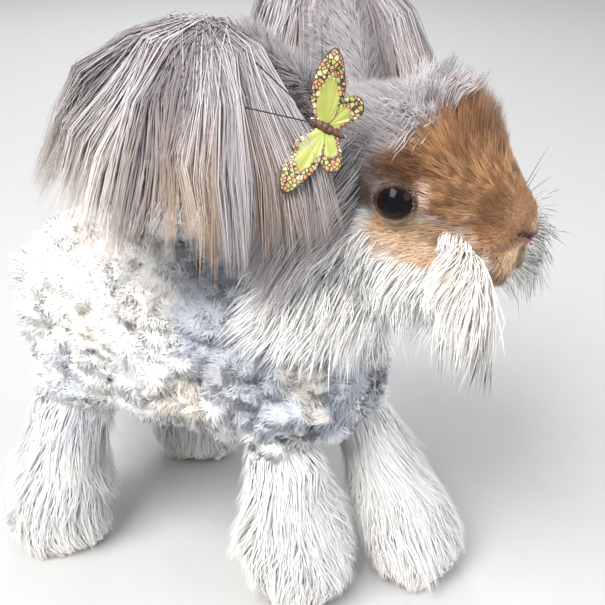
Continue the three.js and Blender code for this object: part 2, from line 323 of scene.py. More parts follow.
def add_color(mesh, name, colors):
    layer = mesh.attributes.new(name, "FLOAT_COLOR", "POINT")
    rgba = np.ones((len(colors), 4), np.float32)
    rgba[:, :3] = colors
    layer.data.foreach_set("color", rgba.ravel())


def add_value(mesh, name, values):
    layer = mesh.attributes.new(name, "FLOAT", "POINT")
    layer.data.foreach_set("value", np.ascontiguousarray(values, np.float32))


def smooth(mesh):
    mesh.polygons.foreach_set("use_smooth", np.ones(len(mesh.polygons), bool))


def finish_piece(mesh, material):
    """An object of the mesh, with its material and slot, that rides the body."""
    mesh.materials.clear()
    mesh.materials.append(material)
    piece = new_object(mesh.name, mesh)
    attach(piece, "root")
    return piece


# Moulding the skin

VOXEL = 1.5
PUFF_HEIGHT = 8.0
REFINED_RADIUS = 15
SOCKET_DEPTH = 3
LOWEST_SKIN = 0.6
NOSE_TIP = np.array([0, -154, 237])
# Lines on the front of the muzzle: x and height from the nose's tip, at both ends
NOSTRIL = ((1.8, -1.2), (8.5, 2.2))
CLEFT = ((0, -2), (0, -8))
MOUTH = ((0, -8), (8, -12))
NOSE_PAD = ((1.2, -1.5), (8, 1.8))


def mould_skin():
    """One closed skin over all the lofts, in millimetres."""
    points, faces, offset = [], [], 0
    for part_points, part_faces in skin_sources():
        points.append(part_points)
        faces += [tuple(i + offset for i in face) for face in part_faces]
        offset += len(part_points)
    mesh = bpy.data.meshes.new("skin_source")
    mesh.from_pydata(np.vstack(points).tolist(), [], faces)
    source = new_object("skin_source", mesh)
    remesh = source.modifiers.new("mould", "REMESH")
    remesh.mode = "VOXEL"
    remesh.voxel_size = VOXEL
    soften = source.modifiers.new("soften", "SMOOTH")
    soften.factor = 0.5
    soften.iterations = 9
    skin = evaluated_mesh(source)
    bpy.data.objects.remove(source)
    refine(skin)
    return skin


def edge_middle(edge):
    return (edge.verts[0].co + edge.verts[1].co) / 2


def refine(mesh):
    """Finer faces round the eyes and the nose."""
    detail = bmesh.new()
    detail.from_mesh(mesh)
    centres = [Vector(EYE_AT), Vector(EYE_AT * [-1, 1, 1]), Vector(NOSE_TIP + [0, 6, -3])]
    near = [
        edge
        for edge in detail.edges
        if any((edge_middle(edge) - centre).length < REFINED_RADIUS for centre in centres)
    ]
    bmesh.ops.subdivide_edges(detail, edges=near, cuts=1, use_grid_fill=True, smooth=0.5)
    bmesh.ops.triangulate(detail, faces=[face for face in detail.faces if len(face.verts) > 4])
    detail.to_mesh(mesh)
    detail.free()


def lid_opening(around):
    """Half angle of the lid opening, in degrees, by the angle round the eye."""
    return 50 + 7 * np.cos(around) ** 2 - 3 * np.sin(around)


def eye_view(points, side):
    """Distance and direction from an eye's middle, angle from its aim and angle round it."""
    away = points - EYE_AT * [side, 1, 1]
    aim = unit(EYE_AIM * [side, 1, 1])
    toward = unit(away)
    angle = np.degrees(np.arccos(np.clip(toward @ aim, -1, 1)))
    forward = unit(np.cross(aim, [0, 0, 1]) * side)
    around = np.arctan2(toward[:, 2], toward @ forward)
    return np.linalg.norm(away, axis=1), toward, angle, around


def shape_lids(points, side):
    """Presses a socket for one eyeball and draws the lids round it."""
    distance, toward, angle, around = eye_view(points, side)
    opening = lid_opening(around)
    rim = smoothstep(opening - 9, opening + 1, angle)
    lid = EYE_RADIUS + 0.2 + 0.7 * smoothstep(opening - 1, opening + 10, angle)
    lid -= 0.7 * np.exp(-(((angle - opening - 24) / 6) ** 2))
    socket = EYE_RADIUS - SOCKET_DEPTH
    target = socket + rim * (lid - socket)
    keep = smoothstep(opening + 18, opening + 46, angle)
    new_distance = target * (1 - keep) + distance * keep
    reach = (distance < 22) & (angle < 110)
    return np.where(reach[:, None], EYE_AT * [side, 1, 1] + toward * new_distance[:, None], points)


def line_distance(points, line):
    """Distance of points from a line of the muzzle and its mirror image, seen from the front."""
    a, b = np.array(line, float) + [0, NOSE_TIP[2]]
    seen = np.column_stack([np.abs(points[:, 0]), points[:, 2]])
    along = np.clip(((seen - a) @ (b - a)) / ((b - a) @ (b - a)), 0, 1)
    return np.linalg.norm(seen - a - along[:, None] * (b - a), axis=1)


def shape_nose(points):
    """Cuts the nostrils and the cleft and line of the mouth into the muzzle."""
    front = smoothstep(-141, -146, points[:, 1])
    depth = np.zeros(len(points))
    for line, deep, half_width in ((NOSTRIL, 2.6, 1.1), (CLEFT, 1.6, 0.9), (MOUTH, 1.8, 1.0)):
        depth += deep * np.exp(-((line_distance(points, line) / half_width) ** 2))
    return points + np.outer(depth * front, [0, 1, 0])


def puffs(points):
    """From 0 in the creases between the puffs of clipped wool to 1 on their tops."""
    return 0.62 * np.abs(noise(points, 15, 8)) + 0.38 * np.abs(noise(points, 7, 9))


def folds(points):
    """Small creases, and the rounded lumps under the clipped wool."""
    fine = noise(points * [1, 1, 2], 5, 3) * 0.25 + noise(points, 11, 4) * 0.4
    head = smoothstep(-60, -85, points[:, 1]) * smoothstep(205, 225, points[:, 2])
    wool = smoothstep(95, 115, points[:, 2]) * smoothstep(228, 205, points[:, 2])
    return fine * (1 - 0.7 * head) + PUFF_HEIGHT * (puffs(points) - 0.25) * wool


# Markings

def patch(points, at, radii, ragged=0.25, seed=1):
    """From 0 to 1, how far points are inside a ragged soft patch."""
    distance = np.linalg.norm((points - at) / radii, axis=-1)
    distance = distance + ragged * noise(points, 9, seed) + ragged * 0.6 * noise(points, 3.5, seed + 1)
    return smoothstep(1.25, 0.75, distance)


def eye_distance(at):
    return np.minimum(*(np.linalg.norm(at - EYE_AT * [side, 1, 1], axis=1) for side in (-1, 1)))


def paint(colors, mask, color, amount=1.0):
    return colors + (linear(color) - colors) * (mask * amount)[..., None]


def paint_marks(colors, points, marks):
    """Paints patches, each of a middle, radii, raggedness, noise seed, colour and amount."""
    for at, radii, ragged, seed, color, amount in marks:
        colors = paint(colors, patch(points, at, radii, ragged, seed), color, amount)
    return colors


SHOULDER_EDGE = 8
SHOULDER_SLANT = 0.6
HIP_AT = (62, 68, 128)
HIP_RADII = (18, 15, 15)
CREAM_SPOTS = [
    ((-38, -68, 152), (13, 10, 19), 0.4, 30, CREAM, 0.6),
    ((-54, -8, 130), (14, 15, 12), 0.4, 31, CREAM, 0.6),
    ((-60, 46, 162), (14, 14, 12), 0.4, 32, CREAM, 0.6),
    ((20, -90, 140), (14, 12, 14), 0.4, 33, CREAM, 0.6),
    ((52, 30, 150), (18, 18, 14), 0.4, 34, CREAM, 0.6),
]


def shoulder_grey(points):
    """Grey from the shoulders forward. Its edge behind slants forward as it goes down."""
    y, z = points[:, 1], points[:, 2]
    ragged = 4 * noise(points, 13, 10) + 3 * noise(points, 5, 11)
    behind = smoothstep(6, -6, y - SHOULDER_EDGE + SHOULDER_SLANT * (190 - z) + ragged)
    return behind * smoothstep(112, 122, z + ragged)


def both_sides(points):
    """Points with the right side folded onto the left."""
    return np.column_stack([np.abs(points[:, 0]), points[:, 1:]])


def body_colors(points):
    """White wool with a blue-grey shoulder, a grey spot on each hip and a few cream spots, and painted
    shade in the creases between the puffs of the grey wool.
    """
    colors = np.tile(linear(WHITE), (len(points), 1))
    hips = patch(both_sides(points), HIP_AT, HIP_RADII, 0.25, 12)
    grey = np.maximum(shoulder_grey(points), 0.8 * hips)
    colors = paint(colors, grey * (0.92 + 0.08 * noise(points, 7, 5)), BLUE_GREY)
    # Painted shade: slate darkens the creases between the puffs of the grey wool
    colors = paint(colors, grey * smoothstep(0.42, 0.12, puffs(points)), SLATE, 0.3)
    colors = paint_marks(colors, points, CREAM_SPOTS)
    return paint(colors, smoothstep(0.2, 0.8, noise(points, 22, 7)), CREAM, 0.12)


def leg_colors(points):
    """White feet, a little soiled near the floor, grey streaks on the thigh."""
    colors = np.tile(linear(WHITE), (len(points), 1))
    soiled = smoothstep(26, 4, points[:, 2]) * (0.6 + 0.4 * noise(points, 8, 8))
    colors = paint(colors, soiled, TOE_BEIGE, 0.6)
    for side in (-1, 1):
        thigh = ((62 * side, 60, 122), (22, 24, 26), 0.4, 41, BLUE_GREY, 0.7)
        front = ((58 * side, 44, 92), (18, 16, 30), 0.5, 42, TAUPE, 0.35)
        colors = paint_marks(colors, points, [thigh, front])
    return colors


FACE_AT = (0, -122, 264)
FACE_RADII = (35, 42, 36)
FOREHEAD_MARKS = [((6, -122, 276), (12, 14, 12), 0.4, 52, RUST, 0.5)]
# Brow, a dark line over the eye and a dark patch behind it. The line and the patch are partly dark hair and
# partly painted shadow of the lashes
EYE_MARKS = [
    ((27, -101, 263), (9, 13, 6), 0.2, 53, RUST, 0.85),
    ((29, -97, 260), (8, 11, 3.5), 0.2, 54, DARK_BROWN, 0.7),
    ((32, -85, 249), (11, 10, 11), 0.2, 55, UMBER, 0.85),
]
MUZZLE_MARKS = [
    ((26, -114, 252), (6, 5.5, 6.5), 0.2, 56, EYE_CORNER, 0.85),
    ((30, -112, 232), (18, 26, 11), 0.3, 57, FAWN, 0.85),
    ((9, -144, 247), (18, 15, 10), 0.2, 58, MUZZLE_TOP, 0.9),
    ((13, -139, 249), (6, 7, 7), 0.3, 59, DARK_BROWN, 0.55),
    ((10, -146, 231), (15, 16, 14), 0.15, 62, MUZZLE_SIDE, 0.9),
    ((13, -150, 229), (9, 9, 6.5), 0.15, 60, LIP_BEIGE, 0.95),
    ((7, -144, 216), (9, 14, 7), 0.3, 61, RUST, 0.6),
]


def head_colors(points):
    """Ticked orange-brown face, white cheeks and lips, grey crown and sides."""
    y, z = points[:, 1], points[:, 2]
    folded = both_sides(points)
    colors = np.tile(linear(WHITE), (len(points), 1))
    face = patch(folded, FACE_AT, FACE_RADII, 0.12, 50)
    colors = paint(colors, face, ORANGE)
    ticked = smoothstep(-0.2, 0.5, noise(points, 2.4, 51))
    colors = paint(colors, face * ticked, RUST, 0.75)
    colors = paint_marks(colors, folded, FOREHEAD_MARKS)
    crown = smoothstep(272, 282, z + 0.45 * (y + 100))
    colors = paint(colors, crown * smoothstep(-117, -108, y + 5 * noise(points, 8, 63)), ASH, 0.95)
    behind = smoothstep(-89, -80, y + 0.9 * np.maximum(z - 250, 0)) * smoothstep(226, 240, z)
    colors = paint(colors, behind, ASH, 0.9)
    # Dark marks round the eyes, partly painted shadow of the lashes
    colors = paint_marks(colors, folded, EYE_MARKS)
    lids = smoothstep(16, 11.5, eye_distance(points)) * smoothstep(-113, -106, y)
    colors = paint(colors, lids, DARK_BROWN, 0.8)
    return paint_marks(colors, folded, MUZZLE_MARKS)


def ear_colors(points):
    """Silver-lilac hair with darker taupe streaks."""
    colors = np.tile(linear(LILAC), (len(points), 1))
    colors = paint(colors, smoothstep(0.0, 0.7, noise(points, 6, 70)), SILVER, 0.8)
    return paint(colors, smoothstep(0.1, 0.7, noise(points, 5, 71)), TAUPE, 0.75)


# Planes that part the body into regions
FORELEG_TOP = 112
HINDLEG_TOP = 100
BELLY_LOW = 84
BELLY_HALF = 24
TAIL_ROOT = 122
NECK_LOW = 186
HEAD_LOW = 206
HEAD_BACK = -62
EAR_ROOT_OUT = 16
EAR_ROOT_LOW = 278


def region(points):
    """A name for the part of the body that each point is on."""
    x, y, z = points.T
    names = np.full(len(points), "trunk", dtype="U16")
    fore = (z < FORELEG_TOP) & (y < 0)
    hind = (z < HINDLEG_TOP) & (y >= 0)
    for name, low in (("foreleg", fore), ("hindleg", hind)):
        names[low & (x < 0)] = name + "_right"
        names[low & (x >= 0)] = name + "_left"
    belly = (np.abs(x) < BELLY_HALF) & (z > BELLY_LOW) & (y > -40) & (y < 60)
    names[belly] = "trunk"
    names[y > TAIL_ROOT] = "tail"
    names[(y < -18) & (z > NECK_LOW)] = "neck"
    behind = HEAD_BACK + 0.35 * (z - 240)
    names[(z > HEAD_LOW) & ((y < behind) | (y < -84))] = "head"
    for side, name in ((-1, "ear_right"), (1, "ear_left")):
        out = x * side - EAR_ROOT_OUT
        names[(out > 0) & (z > EAR_ROOT_LOW - 0.3 * out) & (y > -74)] = name
    return names


def coat_colors(points, names):
    """The markings, the same for skin and coat."""
    colors = body_colors(points)
    legs = np.char.find(names, "leg") >= 0
    low = smoothstep(112, 96, points[:, 2])
    if legs.any():
        colors[legs] += (leg_colors(points[legs]) - colors[legs]) * low[legs, None]
    ears = np.char.find(names, "ear_") >= 0
    for mine, painter in ((names == "head", head_colors), (ears, ear_colors)):
        if mine.any():
            colors[mine] = painter(points[mine])
    return colors


# The unwrap: each part has a cell of the unit square, and is unrolled round its own axis.
# A row is the cell's left, bottom, right and top, the axis, its middle, and where it starts and ends
CELL_MARGIN = 0.004
CELLS = {
    "trunk": (0.00, 0.00, 0.50, 0.50, 1, (0, 0, 142), (-100, 150)),
    "head": (0.50, 0.00, 1.00, 0.40, 1, (0, 0, 240), (-165, -50)),
    "neck": (0.00, 0.50, 0.30, 0.70, 1, (0, 0, 200), (-110, -10)),
    "tail": (0.30, 0.50, 0.40, 0.60, 1, (-2, 0, 120), (110, 165)),
    "ear_right": (0.50, 0.40, 0.75, 0.70, 2, (-34, -42, 0), (255, 320)),
    "ear_left": (0.75, 0.40, 1.00, 0.70, 2, (34, -42, 0), (255, 320)),
    "foreleg_right": (0.00, 0.70, 0.25, 1.00, 2, (-26, -52, 0), (0, 140)),
    "foreleg_left": (0.25, 0.70, 0.50, 1.00, 2, (24, -86, 0), (0, 140)),
    "hindleg_right": (0.50, 0.70, 0.75, 1.00, 2, (-56, 88, 0), (0, 140)),
    "hindleg_left": (0.75, 0.70, 1.00, 1.00, 2, (44, 72, 0), (0, 140)),
}


def unwrap(points, names):
    """Where each point lies on the unwrap, from a region's name for each or one for all."""
    places = np.zeros((len(points), 2))
    names = np.broadcast_to(names, len(points))
    for name, (left, bottom, right, top, axis, centre, (start, end)) in CELLS.items():
        mine = names == name
        if not mine.any():
            continue
        away = points[mine] - np.array(centre)
        across = away[:, [0, 2]] if axis == 1 else away[:, [0, 1]]
        turn = np.arctan2(across[:, 0], across[:, 1]) / (2 * math.pi) + 0.5
        along = np.clip((points[mine, axis] - start) / (end - start), 0, 1)
        places[mine, 0] = left + CELL_MARGIN + (right - left - 2 * CELL_MARGIN) * turn
        places[mine, 1] = bottom + CELL_MARGIN + (top - bottom - 2 * CELL_MARGIN) * along
    return places


# Strands

TUFT_PATCH = 0.003
MOST_TRIANGLES = 180000


def grow(roots, heading, lengths, steps, droop, wobble, rng):
    """Paths that start along `heading` and are bent down by `droop` at each step."""
    paths = [roots]
    heading = unit(heading)
    drift = unit(rng.normal(size=roots.shape))
    for _ in range(steps):
        heading = unit(heading + DOWN * np.reshape(droop, (-1, 1)) + drift * wobble)
        drift = unit(drift + rng.normal(size=roots.shape) * 0.8)
        paths.append(paths[-1] + heading * (lengths / steps)[:, None])
    return np.stack(paths, axis=1)


def clumps(points, size, rng):
    """Picks some of the points, and gives the pick nearest to each point."""
    count = max(1, len(points) // size)
    chosen = rng.choice(len(points), count, replace=False)
    tree = KDTree(count)
    for index, at in enumerate(points[chosen]):
        tree.insert(at, index)
    tree.balance()
    return chosen[[tree.find(at)[1] for at in points]]


def gather(paths, size, strength, rng, power=1.2, by_tip=False):
    """Draws about `size` neighbouring strands together towards their tips, as a lock."""
    leader = clumps(paths[:, -1 if by_tip else 0], size, rng)
    ease = np.linspace(0, 1, paths.shape[1]) ** power
    pull = strength * rng.uniform(0.35, 1, (len(paths), 1)) * ease
    return paths + (paths[leader] - paths) * pull[..., None]


def sway(paths, size, amount, seed):
    """Waves that grow towards the tips."""
    waves = np.stack([noise(paths + 40 * k, size, seed + k) for k in range(3)], axis=-1)
    ease = np.linspace(0, 1, paths.shape[1]) ** 1.5
    return paths + waves * (amount * ease)[None, :, None]


def taper(steps, root, tip, power=1.8):
    """Half widths along a strand."""
    s = np.linspace(0, 1, steps + 1)
    return tip + (root - tip) * (1 - s**power)


def strand_arrays(paths, widths, outs, softness):
    """Points, normals and triangles of three-sided tapering strands.

    The normals are turned towards the outside of the coat, so that it shades as one soft mass.
    """
    count, rings = paths.shape[0], paths.shape[1] - 1
    tangents = unit(np.gradient(paths, axis=1))
    side = unit(np.cross(tangents, outs[:, None, :]))
    lift = np.cross(side, tangents)
    points = np.empty((count, rings * 3 + 1, 3))
    normals = np.empty_like(points)
    for corner, angle in enumerate(np.radians([330, 210, 90])):
        facing = math.cos(angle) * side + math.sin(angle) * lift
        flat = math.cos(angle) * side + 0.6 * math.sin(angle) * lift
        ring = paths + widths[..., None] * flat
        points[:, corner : rings * 3 : 3] = ring[:, :rings]
        normals[:, corner : rings * 3 : 3] = facing[:, :rings]
    points[:, -1] = paths[:, -1]
    normals[:, -1] = lift[:, -1]
    normals = unit(normals * (1 - softness) + outs[:, None, :] * softness)
    faces = []
    for ring in range(rings - 1):
        for corner in range(3):
            a, b = ring * 3 + corner, ring * 3 + (corner + 1) % 3
            faces += [(a, b, b + 3), (a, b + 3, a + 3)]
    top = (rings - 1) * 3
    faces += [(top + corner, top + (corner + 1) % 3, rings * 3) for corner in range(3)]
    offsets = np.arange(count)[:, None, None] * (rings * 3 + 1)
    return points, normals, np.array(faces)[None] + offsets


def strand_colors(colors, steps):
    """A colour for each point, from one for each strand or one for each of its rings."""
    rings = colors[:, None] if colors.ndim == 2 else colors
    rings = np.broadcast_to(rings, (len(colors), steps + 1, 3))
    return np.concatenate([np.repeat(rings[:, :steps], 3, axis=1), rings[:, -1:]], axis=1)


def coat_piece(name, paths, widths, outs, colors, places, tuft, material, softness=0.6):
    """Joined meshes of strands, none with too many triangles."""
    steps = paths.shape[1] - 1
    per_strand = 6 * (steps - 1) + 3
    chunk = MOST_TRIANGLES // per_strand
    widths = np.broadcast_to(widths, paths.shape[:2])
    for number, start in enumerate(range(0, len(paths), chunk)):
        part = slice(start, start + chunk)
        points, normals, faces = strand_arrays(paths[part], widths[part], outs[part], softness)
        count, verts = points.shape[:2]
        faces = faces.reshape(-1, 3)
        mesh = triangle_mesh(f"{name}_{number + 1}", to_row(points.reshape(-1, 3)), faces)
        along = np.minimum(np.arange(verts) // 3, steps) / steps
        across = np.append(np.tile([0.0, 0.5, 1.0], steps), 0.5)
        add_color(mesh, "coat", strand_colors(colors[part], steps).reshape(-1, 3))
        add_value(mesh, "along", np.tile(along, count))
        add_value(mesh, "across", np.tile(across, count))
        add_value(mesh, "tuft", np.repeat(tuft[part], verts))
        spot = np.stack([across - 0.5, along - 0.5], axis=1) * TUFT_PATCH
        uv = (places[part][:, None, :] + spot[None]).reshape(-1, 2)
        layer = mesh.uv_layers.new(name="OFBake")
        layer.data.foreach_set("uv", np.ascontiguousarray(uv[faces.ravel()], np.float32).ravel())
        mesh.normals_split_custom_set_from_vertices(normals.reshape(-1, 3))
        finish_piece(mesh, material)


# Materials

def set_inputs(tree, node, inputs):
    """Links each input whose value is an output socket, and sets the others."""
    for key, value in inputs.items():
        if isinstance(value, bpy.types.NodeSocket):
            tree.links.new(value, node.inputs[key])
        else:
            node.inputs[key].default_value = value


def node_material(name):
    """A material with an empty tree apart from a shader and the output."""
    material = bpy.data.materials.new(name)
    material.use_nodes = True
    tree = material.node_tree
    tree.nodes.clear()
    shader = tree.nodes.new("ShaderNodeBsdfPrincipled")
    output = tree.nodes.new("ShaderNodeOutputMaterial")
    tree.links.new(shader.outputs["BSDF"], output.inputs["Surface"])
    return material, tree, shader


def add_node(tree, kind, inputs=None, **settings):
    """A node with its settings and inputs."""
    node = tree.nodes.new("ShaderNode" + kind)
    for key, value in settings.items():
        setattr(node, key, value)
    set_inputs(tree, node, inputs or {})
    return node


def attribute(tree, name, output):
    return add_node(tree, "Attribute", attribute_name=name).outputs[output]


def scaled_color(tree, color, factor):
    """A colour multiplied by a value."""
    grey = add_node(tree, "CombineColor", {0: factor, 1: factor, 2: factor})
    inputs = {"Factor": 1, "A": color, "B": grey.outputs[0]}
    return add_node(tree, "Mix", inputs, data_type="RGBA", blend_type="MULTIPLY").outputs["Result"]


def blend(tree, factor, a, b):
    """Two colours mixed by a factor."""
    inputs = {"Factor": factor, "A": a, "B": b}
    return add_node(tree, "Mix", inputs, data_type="RGBA").outputs["Result"]


def ranged(tree, value, low, high, from_low=0.0, from_high=1.0):
    """A value taken from one range to another, and kept in it."""
    limits = {"From Min": from_low, "From Max": from_high, "To Min": low, "To Max": high}
    return add_node(tree, "MapRange", {"Value": value, **limits}).outputs["Result"]


def times(tree, a, b):
    return add_node(tree, "Math", {0: a, 1: b}, operation="MULTIPLY").outputs[0]


def position(tree):
    return add_node(tree, "TexCoord").outputs["Object"]


def grain(tree, at, scale, detail, roughness=0.5):
    """Noise from 0 to 1."""
    inputs = {"Vector": at, "Scale": scale, "Detail": detail, "Roughness": roughness}
    return add_node(tree, "TexNoise", inputs).outputs["Fac"]


def bump(tree, height, distance, strength=1.0):
    inputs = {"Height": height, "Distance": distance, "Strength": strength}
    return add_node(tree, "Bump", inputs).outputs["Normal"]


def ramp(tree, factor, stops, interpolation="LINEAR"):
    """Colours by a factor, from stops of place and colour."""
    node = add_node(tree, "ValToRGB", {"Fac": factor})
    node.color_ramp.interpolation = interpolation
    elements = node.color_ramp.elements
    while len(elements) < len(stops):
        elements.new(0.5)
    for element, (at, color) in zip(elements, stops):
        element.position = at
        element.color = (*color, 1)
    return node.outputs["Color"]


def coat_material(name, root_shade, spread, roughness, lines, streak):
    """Hair: the marking's colour with painted shade towards the root (on the face also the darker roots of
    its ticked hair), in fine lines that run along each lock.
    """
    material, tree, shader = node_material(name)
    along = attribute(tree, "along", "Fac")
    tuft = attribute(tree, "tuft", "Fac")
    across = times(tree, attribute(tree, "across", "Fac"), lines)
    hair = add_node(tree, "CombineXYZ", {0: across, 1: times(tree, along, 1.5), 2: times(tree, tuft, 61.7)})
    fine = grain(tree, hair.outputs[0], 1.0, 2.0)
    # Painted shade: each strand darker towards its root; on the face this is also the ticking's darker root
    root = ranged(tree, along, root_shade, 1.0, 0.0, 0.6)
    shade = times(tree, root, ranged(tree, tuft, 1 - spread, 1 + spread))
    shade = times(tree, shade, ranged(tree, fine, 1 - streak, 1 + streak / 2, 0.3, 0.7))
    inputs = {
        "Base Color": scaled_color(tree, attribute(tree, "coat", "Color"), shade),
        "Roughness": ranged(tree, fine, roughness - 0.06, roughness + 0.08),
        "Normal": bump(tree, fine, 0.0003, 0.25),
        "Specular IOR Level": 0.2,
        "Sheen Weight": 0.25,
        "Sheen Roughness": 0.45,
    }
    set_inputs(tree, shader, inputs)
    return material


def skin_material():
    """The skin under the coat, with the same markings and a nap of short fur."""
    material, tree, shader = node_material("rabbit_skin")
    at = position(tree)
    nap = grain(tree, at, 900.0, 4.0, 0.65)
    broad = grain(tree, at, 160.0, 3.0)
    shade = times(tree, ranged(tree, nap, 0.72, 1.1, 0.3, 0.7), ranged(tree, broad, 0.85, 1.1, 0.3, 0.7))
    inputs = {
        "Base Color": scaled_color(tree, attribute(tree, "coat", "Color"), shade),
        "Roughness": attribute(tree, "rough", "Fac"),
        "Normal": bump(tree, nap, 0.0008, 0.5),
        "Specular IOR Level": 0.3,
    }
    set_inputs(tree, shader, inputs)
    return material


# The finished skin

def make_skin():
    """The skin, shaped and painted. Gives its points in millimetres, and its mesh."""
    mesh = mould_skin()
    points = coordinates(mesh)
    for side in (-1, 1):
        points = shape_lids(points, side)
    points = shape_nose(points)
    set_coordinates(mesh, points)
    normals = np.empty(len(mesh.vertices) * 3, np.float32)
    mesh.vertices.foreach_get("normal", normals)
    points = points + normals.reshape(-1, 3) * folds(points)[:, None]
    points[:, 2] = np.maximum(points[:, 2], LOWEST_SKIN)
    colors, rough = bare_skin(points, coat_colors(points, region(points)))
    set_coordinates(mesh, to_row(points))
    add_color(mesh, "coat", colors)
    add_value(mesh, "rough", rough)
    smooth(mesh)
    mesh.name = "skin"
    skin = finish_piece(mesh, skin_material())
    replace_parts(skin, "head", "neck", "trunk", "tail", "ear_left", "ear_right", *LEGS)
    return points, mesh


def bare_skin(points, colors):
    """Colours and roughness with the lid rims, nose, nostrils and lips painted in, with painted shade in
    the nostril slits and partly in the line of the mouth.
    """
    rough = np.full(len(points), 0.85)
    for side in (-1, 1):
        distance, _, angle, around = eye_view(points, side)
        opening = lid_opening(around)
        rim = (distance < 13) * smoothstep(opening + 16, opening + 6, angle)
        colors = paint(colors, rim, UMBER, 0.9)
        rough = np.where(rim > 0.5, 0.35, rough)
    front = smoothstep(-142, -147, points[:, 1])
    pad = smoothstep(3.4, 1.8, line_distance(points, NOSE_PAD))
    slit = smoothstep(1.5, 0.7, line_distance(points, NOSTRIL))
    lips = smoothstep(1.6, 0.8, line_distance(points, MOUTH))
    colors = paint(colors, front * pad, PINK, 0.9)
    # Painted shade: the nostril slits in dark wine, for the shade inside the openings
    colors = paint(colors, front * slit, NOSTRIL_SHADE, 0.9)
    # The line of the mouth in brown: partly the lips' own colour, partly painted shade in its crease
    return paint(colors, front * lips, LIP_BROWN, 0.7), rough


# Sampling

def skin_samples(points, mesh, weight, count, seed):
    """Random roots on the skin, with normals. `weight` gives a density for each point."""
    mesh.calc_loop_triangles()
    triangles = np.empty(len(mesh.loop_triangles) * 3, np.int32)
    mesh.loop_triangles.foreach_get("vertices", triangles)
    corners = points[triangles.reshape(-1, 3)]
    normals = np.cross(corners[:, 1] - corners[:, 0], corners[:, 2] - corners[:, 0])
    area = np.linalg.norm(normals, axis=1) / 2
    chance = area * weight(corners.mean(axis=1))
    rng = np.random.default_rng(seed)
    steps = np.cumsum(chance)
    picks = np.searchsorted(steps, rng.random(int(count * DENSITY)) * steps[-1])
    a, b = rng.random((2, len(picks), 1))
    flip = a + b > 1
    a, b = np.where(flip, 1 - a, a), np.where(flip, 1 - b, b)
    c = corners[picks]
    roots = c[:, 0] + a * (c[:, 1] - c[:, 0]) + b * (c[:, 2] - c[:, 0])
    return roots, unit(normals[picks]), rng


def tangent(flow, normals):
    """`flow` laid into the surface."""
    return unit(flow - (flow * normals).sum(axis=1, keepdims=True) * normals)


# Coats

WOOL_TUFTS = 125000
WOOL_LENGTH = 5.6
WOOL_LEAN = math.radians(46)
WOOL_WIDTHS = (0.5, 0.2)
EAR_STRANDS = 6600
EAR_STEPS = 5
FOOT_STRANDS = 9400
FOOT_STEPS = 2
FACE_TUFTS = 44000
HEAD_STRANDS = 16000
HEAD_STEPS = 3
TAIL_STRANDS = 2200
LOWEST_HAIR = 0.7


def tuft_values(rng, count, spread=0.2):
    return np.clip(rng.normal(0.5, spread, count), 0, 1)


def on_clipped_wool(at):
    """1 where the coat is clipped wool: the trunk, the neck and the tops of the legs."""
    names = region(at)
    legs = (np.char.find(names, "leg") >= 0) & (at[:, 2] > 102)
    return (np.isin(names, ["trunk", "neck"]) | legs).astype(float)


def wool_coat(points, mesh):
    """Clipped wool: short tufts that lean every way on the puffs of the skin."""
    roots, normals, rng = skin_samples(points, mesh, on_clipped_wool, WOOL_TUFTS, 11)
    names = region(roots)
    swirl = np.stack([noise(roots, 8, 60 + k) for k in range(3)], axis=1)
    lean = tangent(swirl + [0, 0.1, -0.2] + 0.25 * rng.normal(size=roots.shape), normals)
    lengths = WOOL_LENGTH * rng.uniform(0.75, 1.15, len(roots))
    heading = normals * math.cos(WOOL_LEAN) + lean * math.sin(WOOL_LEAN)
    start = roots - normals
    paths = np.stack([start, start + heading * lengths[:, None]], axis=1)
    paths = gather(paths, 12, 0.45, rng, 1.0, by_tip=True)
    colors = coat_colors(roots + normals * 3, names)
    tuft = tuft_values(rng, len(roots))
    widths = np.outer(np.exp(rng.normal(0, 0.25, len(roots))), WOOL_WIDTHS)
    places = unwrap(roots, names)
    coat_piece("coat_wool", paths, widths, normals, colors, places, tuft, WOOL, 0.93)


# Domes of hair on the ears: the parting, the middle and radii of the rim seen from above,
# the height of the rim, and the rows of the ear inside
EAR_DOMES = {
    "ear_right": ((-45, -27, 314), (-51, -6), (34, 75), 230, EAR_RIGHT),
    "ear_left": ((45, -30, 327), (54, -33), (34, 61), 252, EAR_LEFT),
}


def press_under(paths, start, end):
    """Presses hair that would hide the line from start to end to just behind it."""
    facing = unit(np.array(CLIP_FACING))
    away = paths - start
    line = end - start
    along = np.clip((away @ line) / (line @ line), 0, 1)
    away = away - along[..., None] * line
    depth = away @ facing
    beside = np.linalg.norm(away - depth[..., None] * facing, axis=-1)
    push = np.maximum(depth + 2.0, 0) * smoothstep(9, 3, beside) * (along > 0) * (depth < 25)
    return paths - push[..., None] * facing


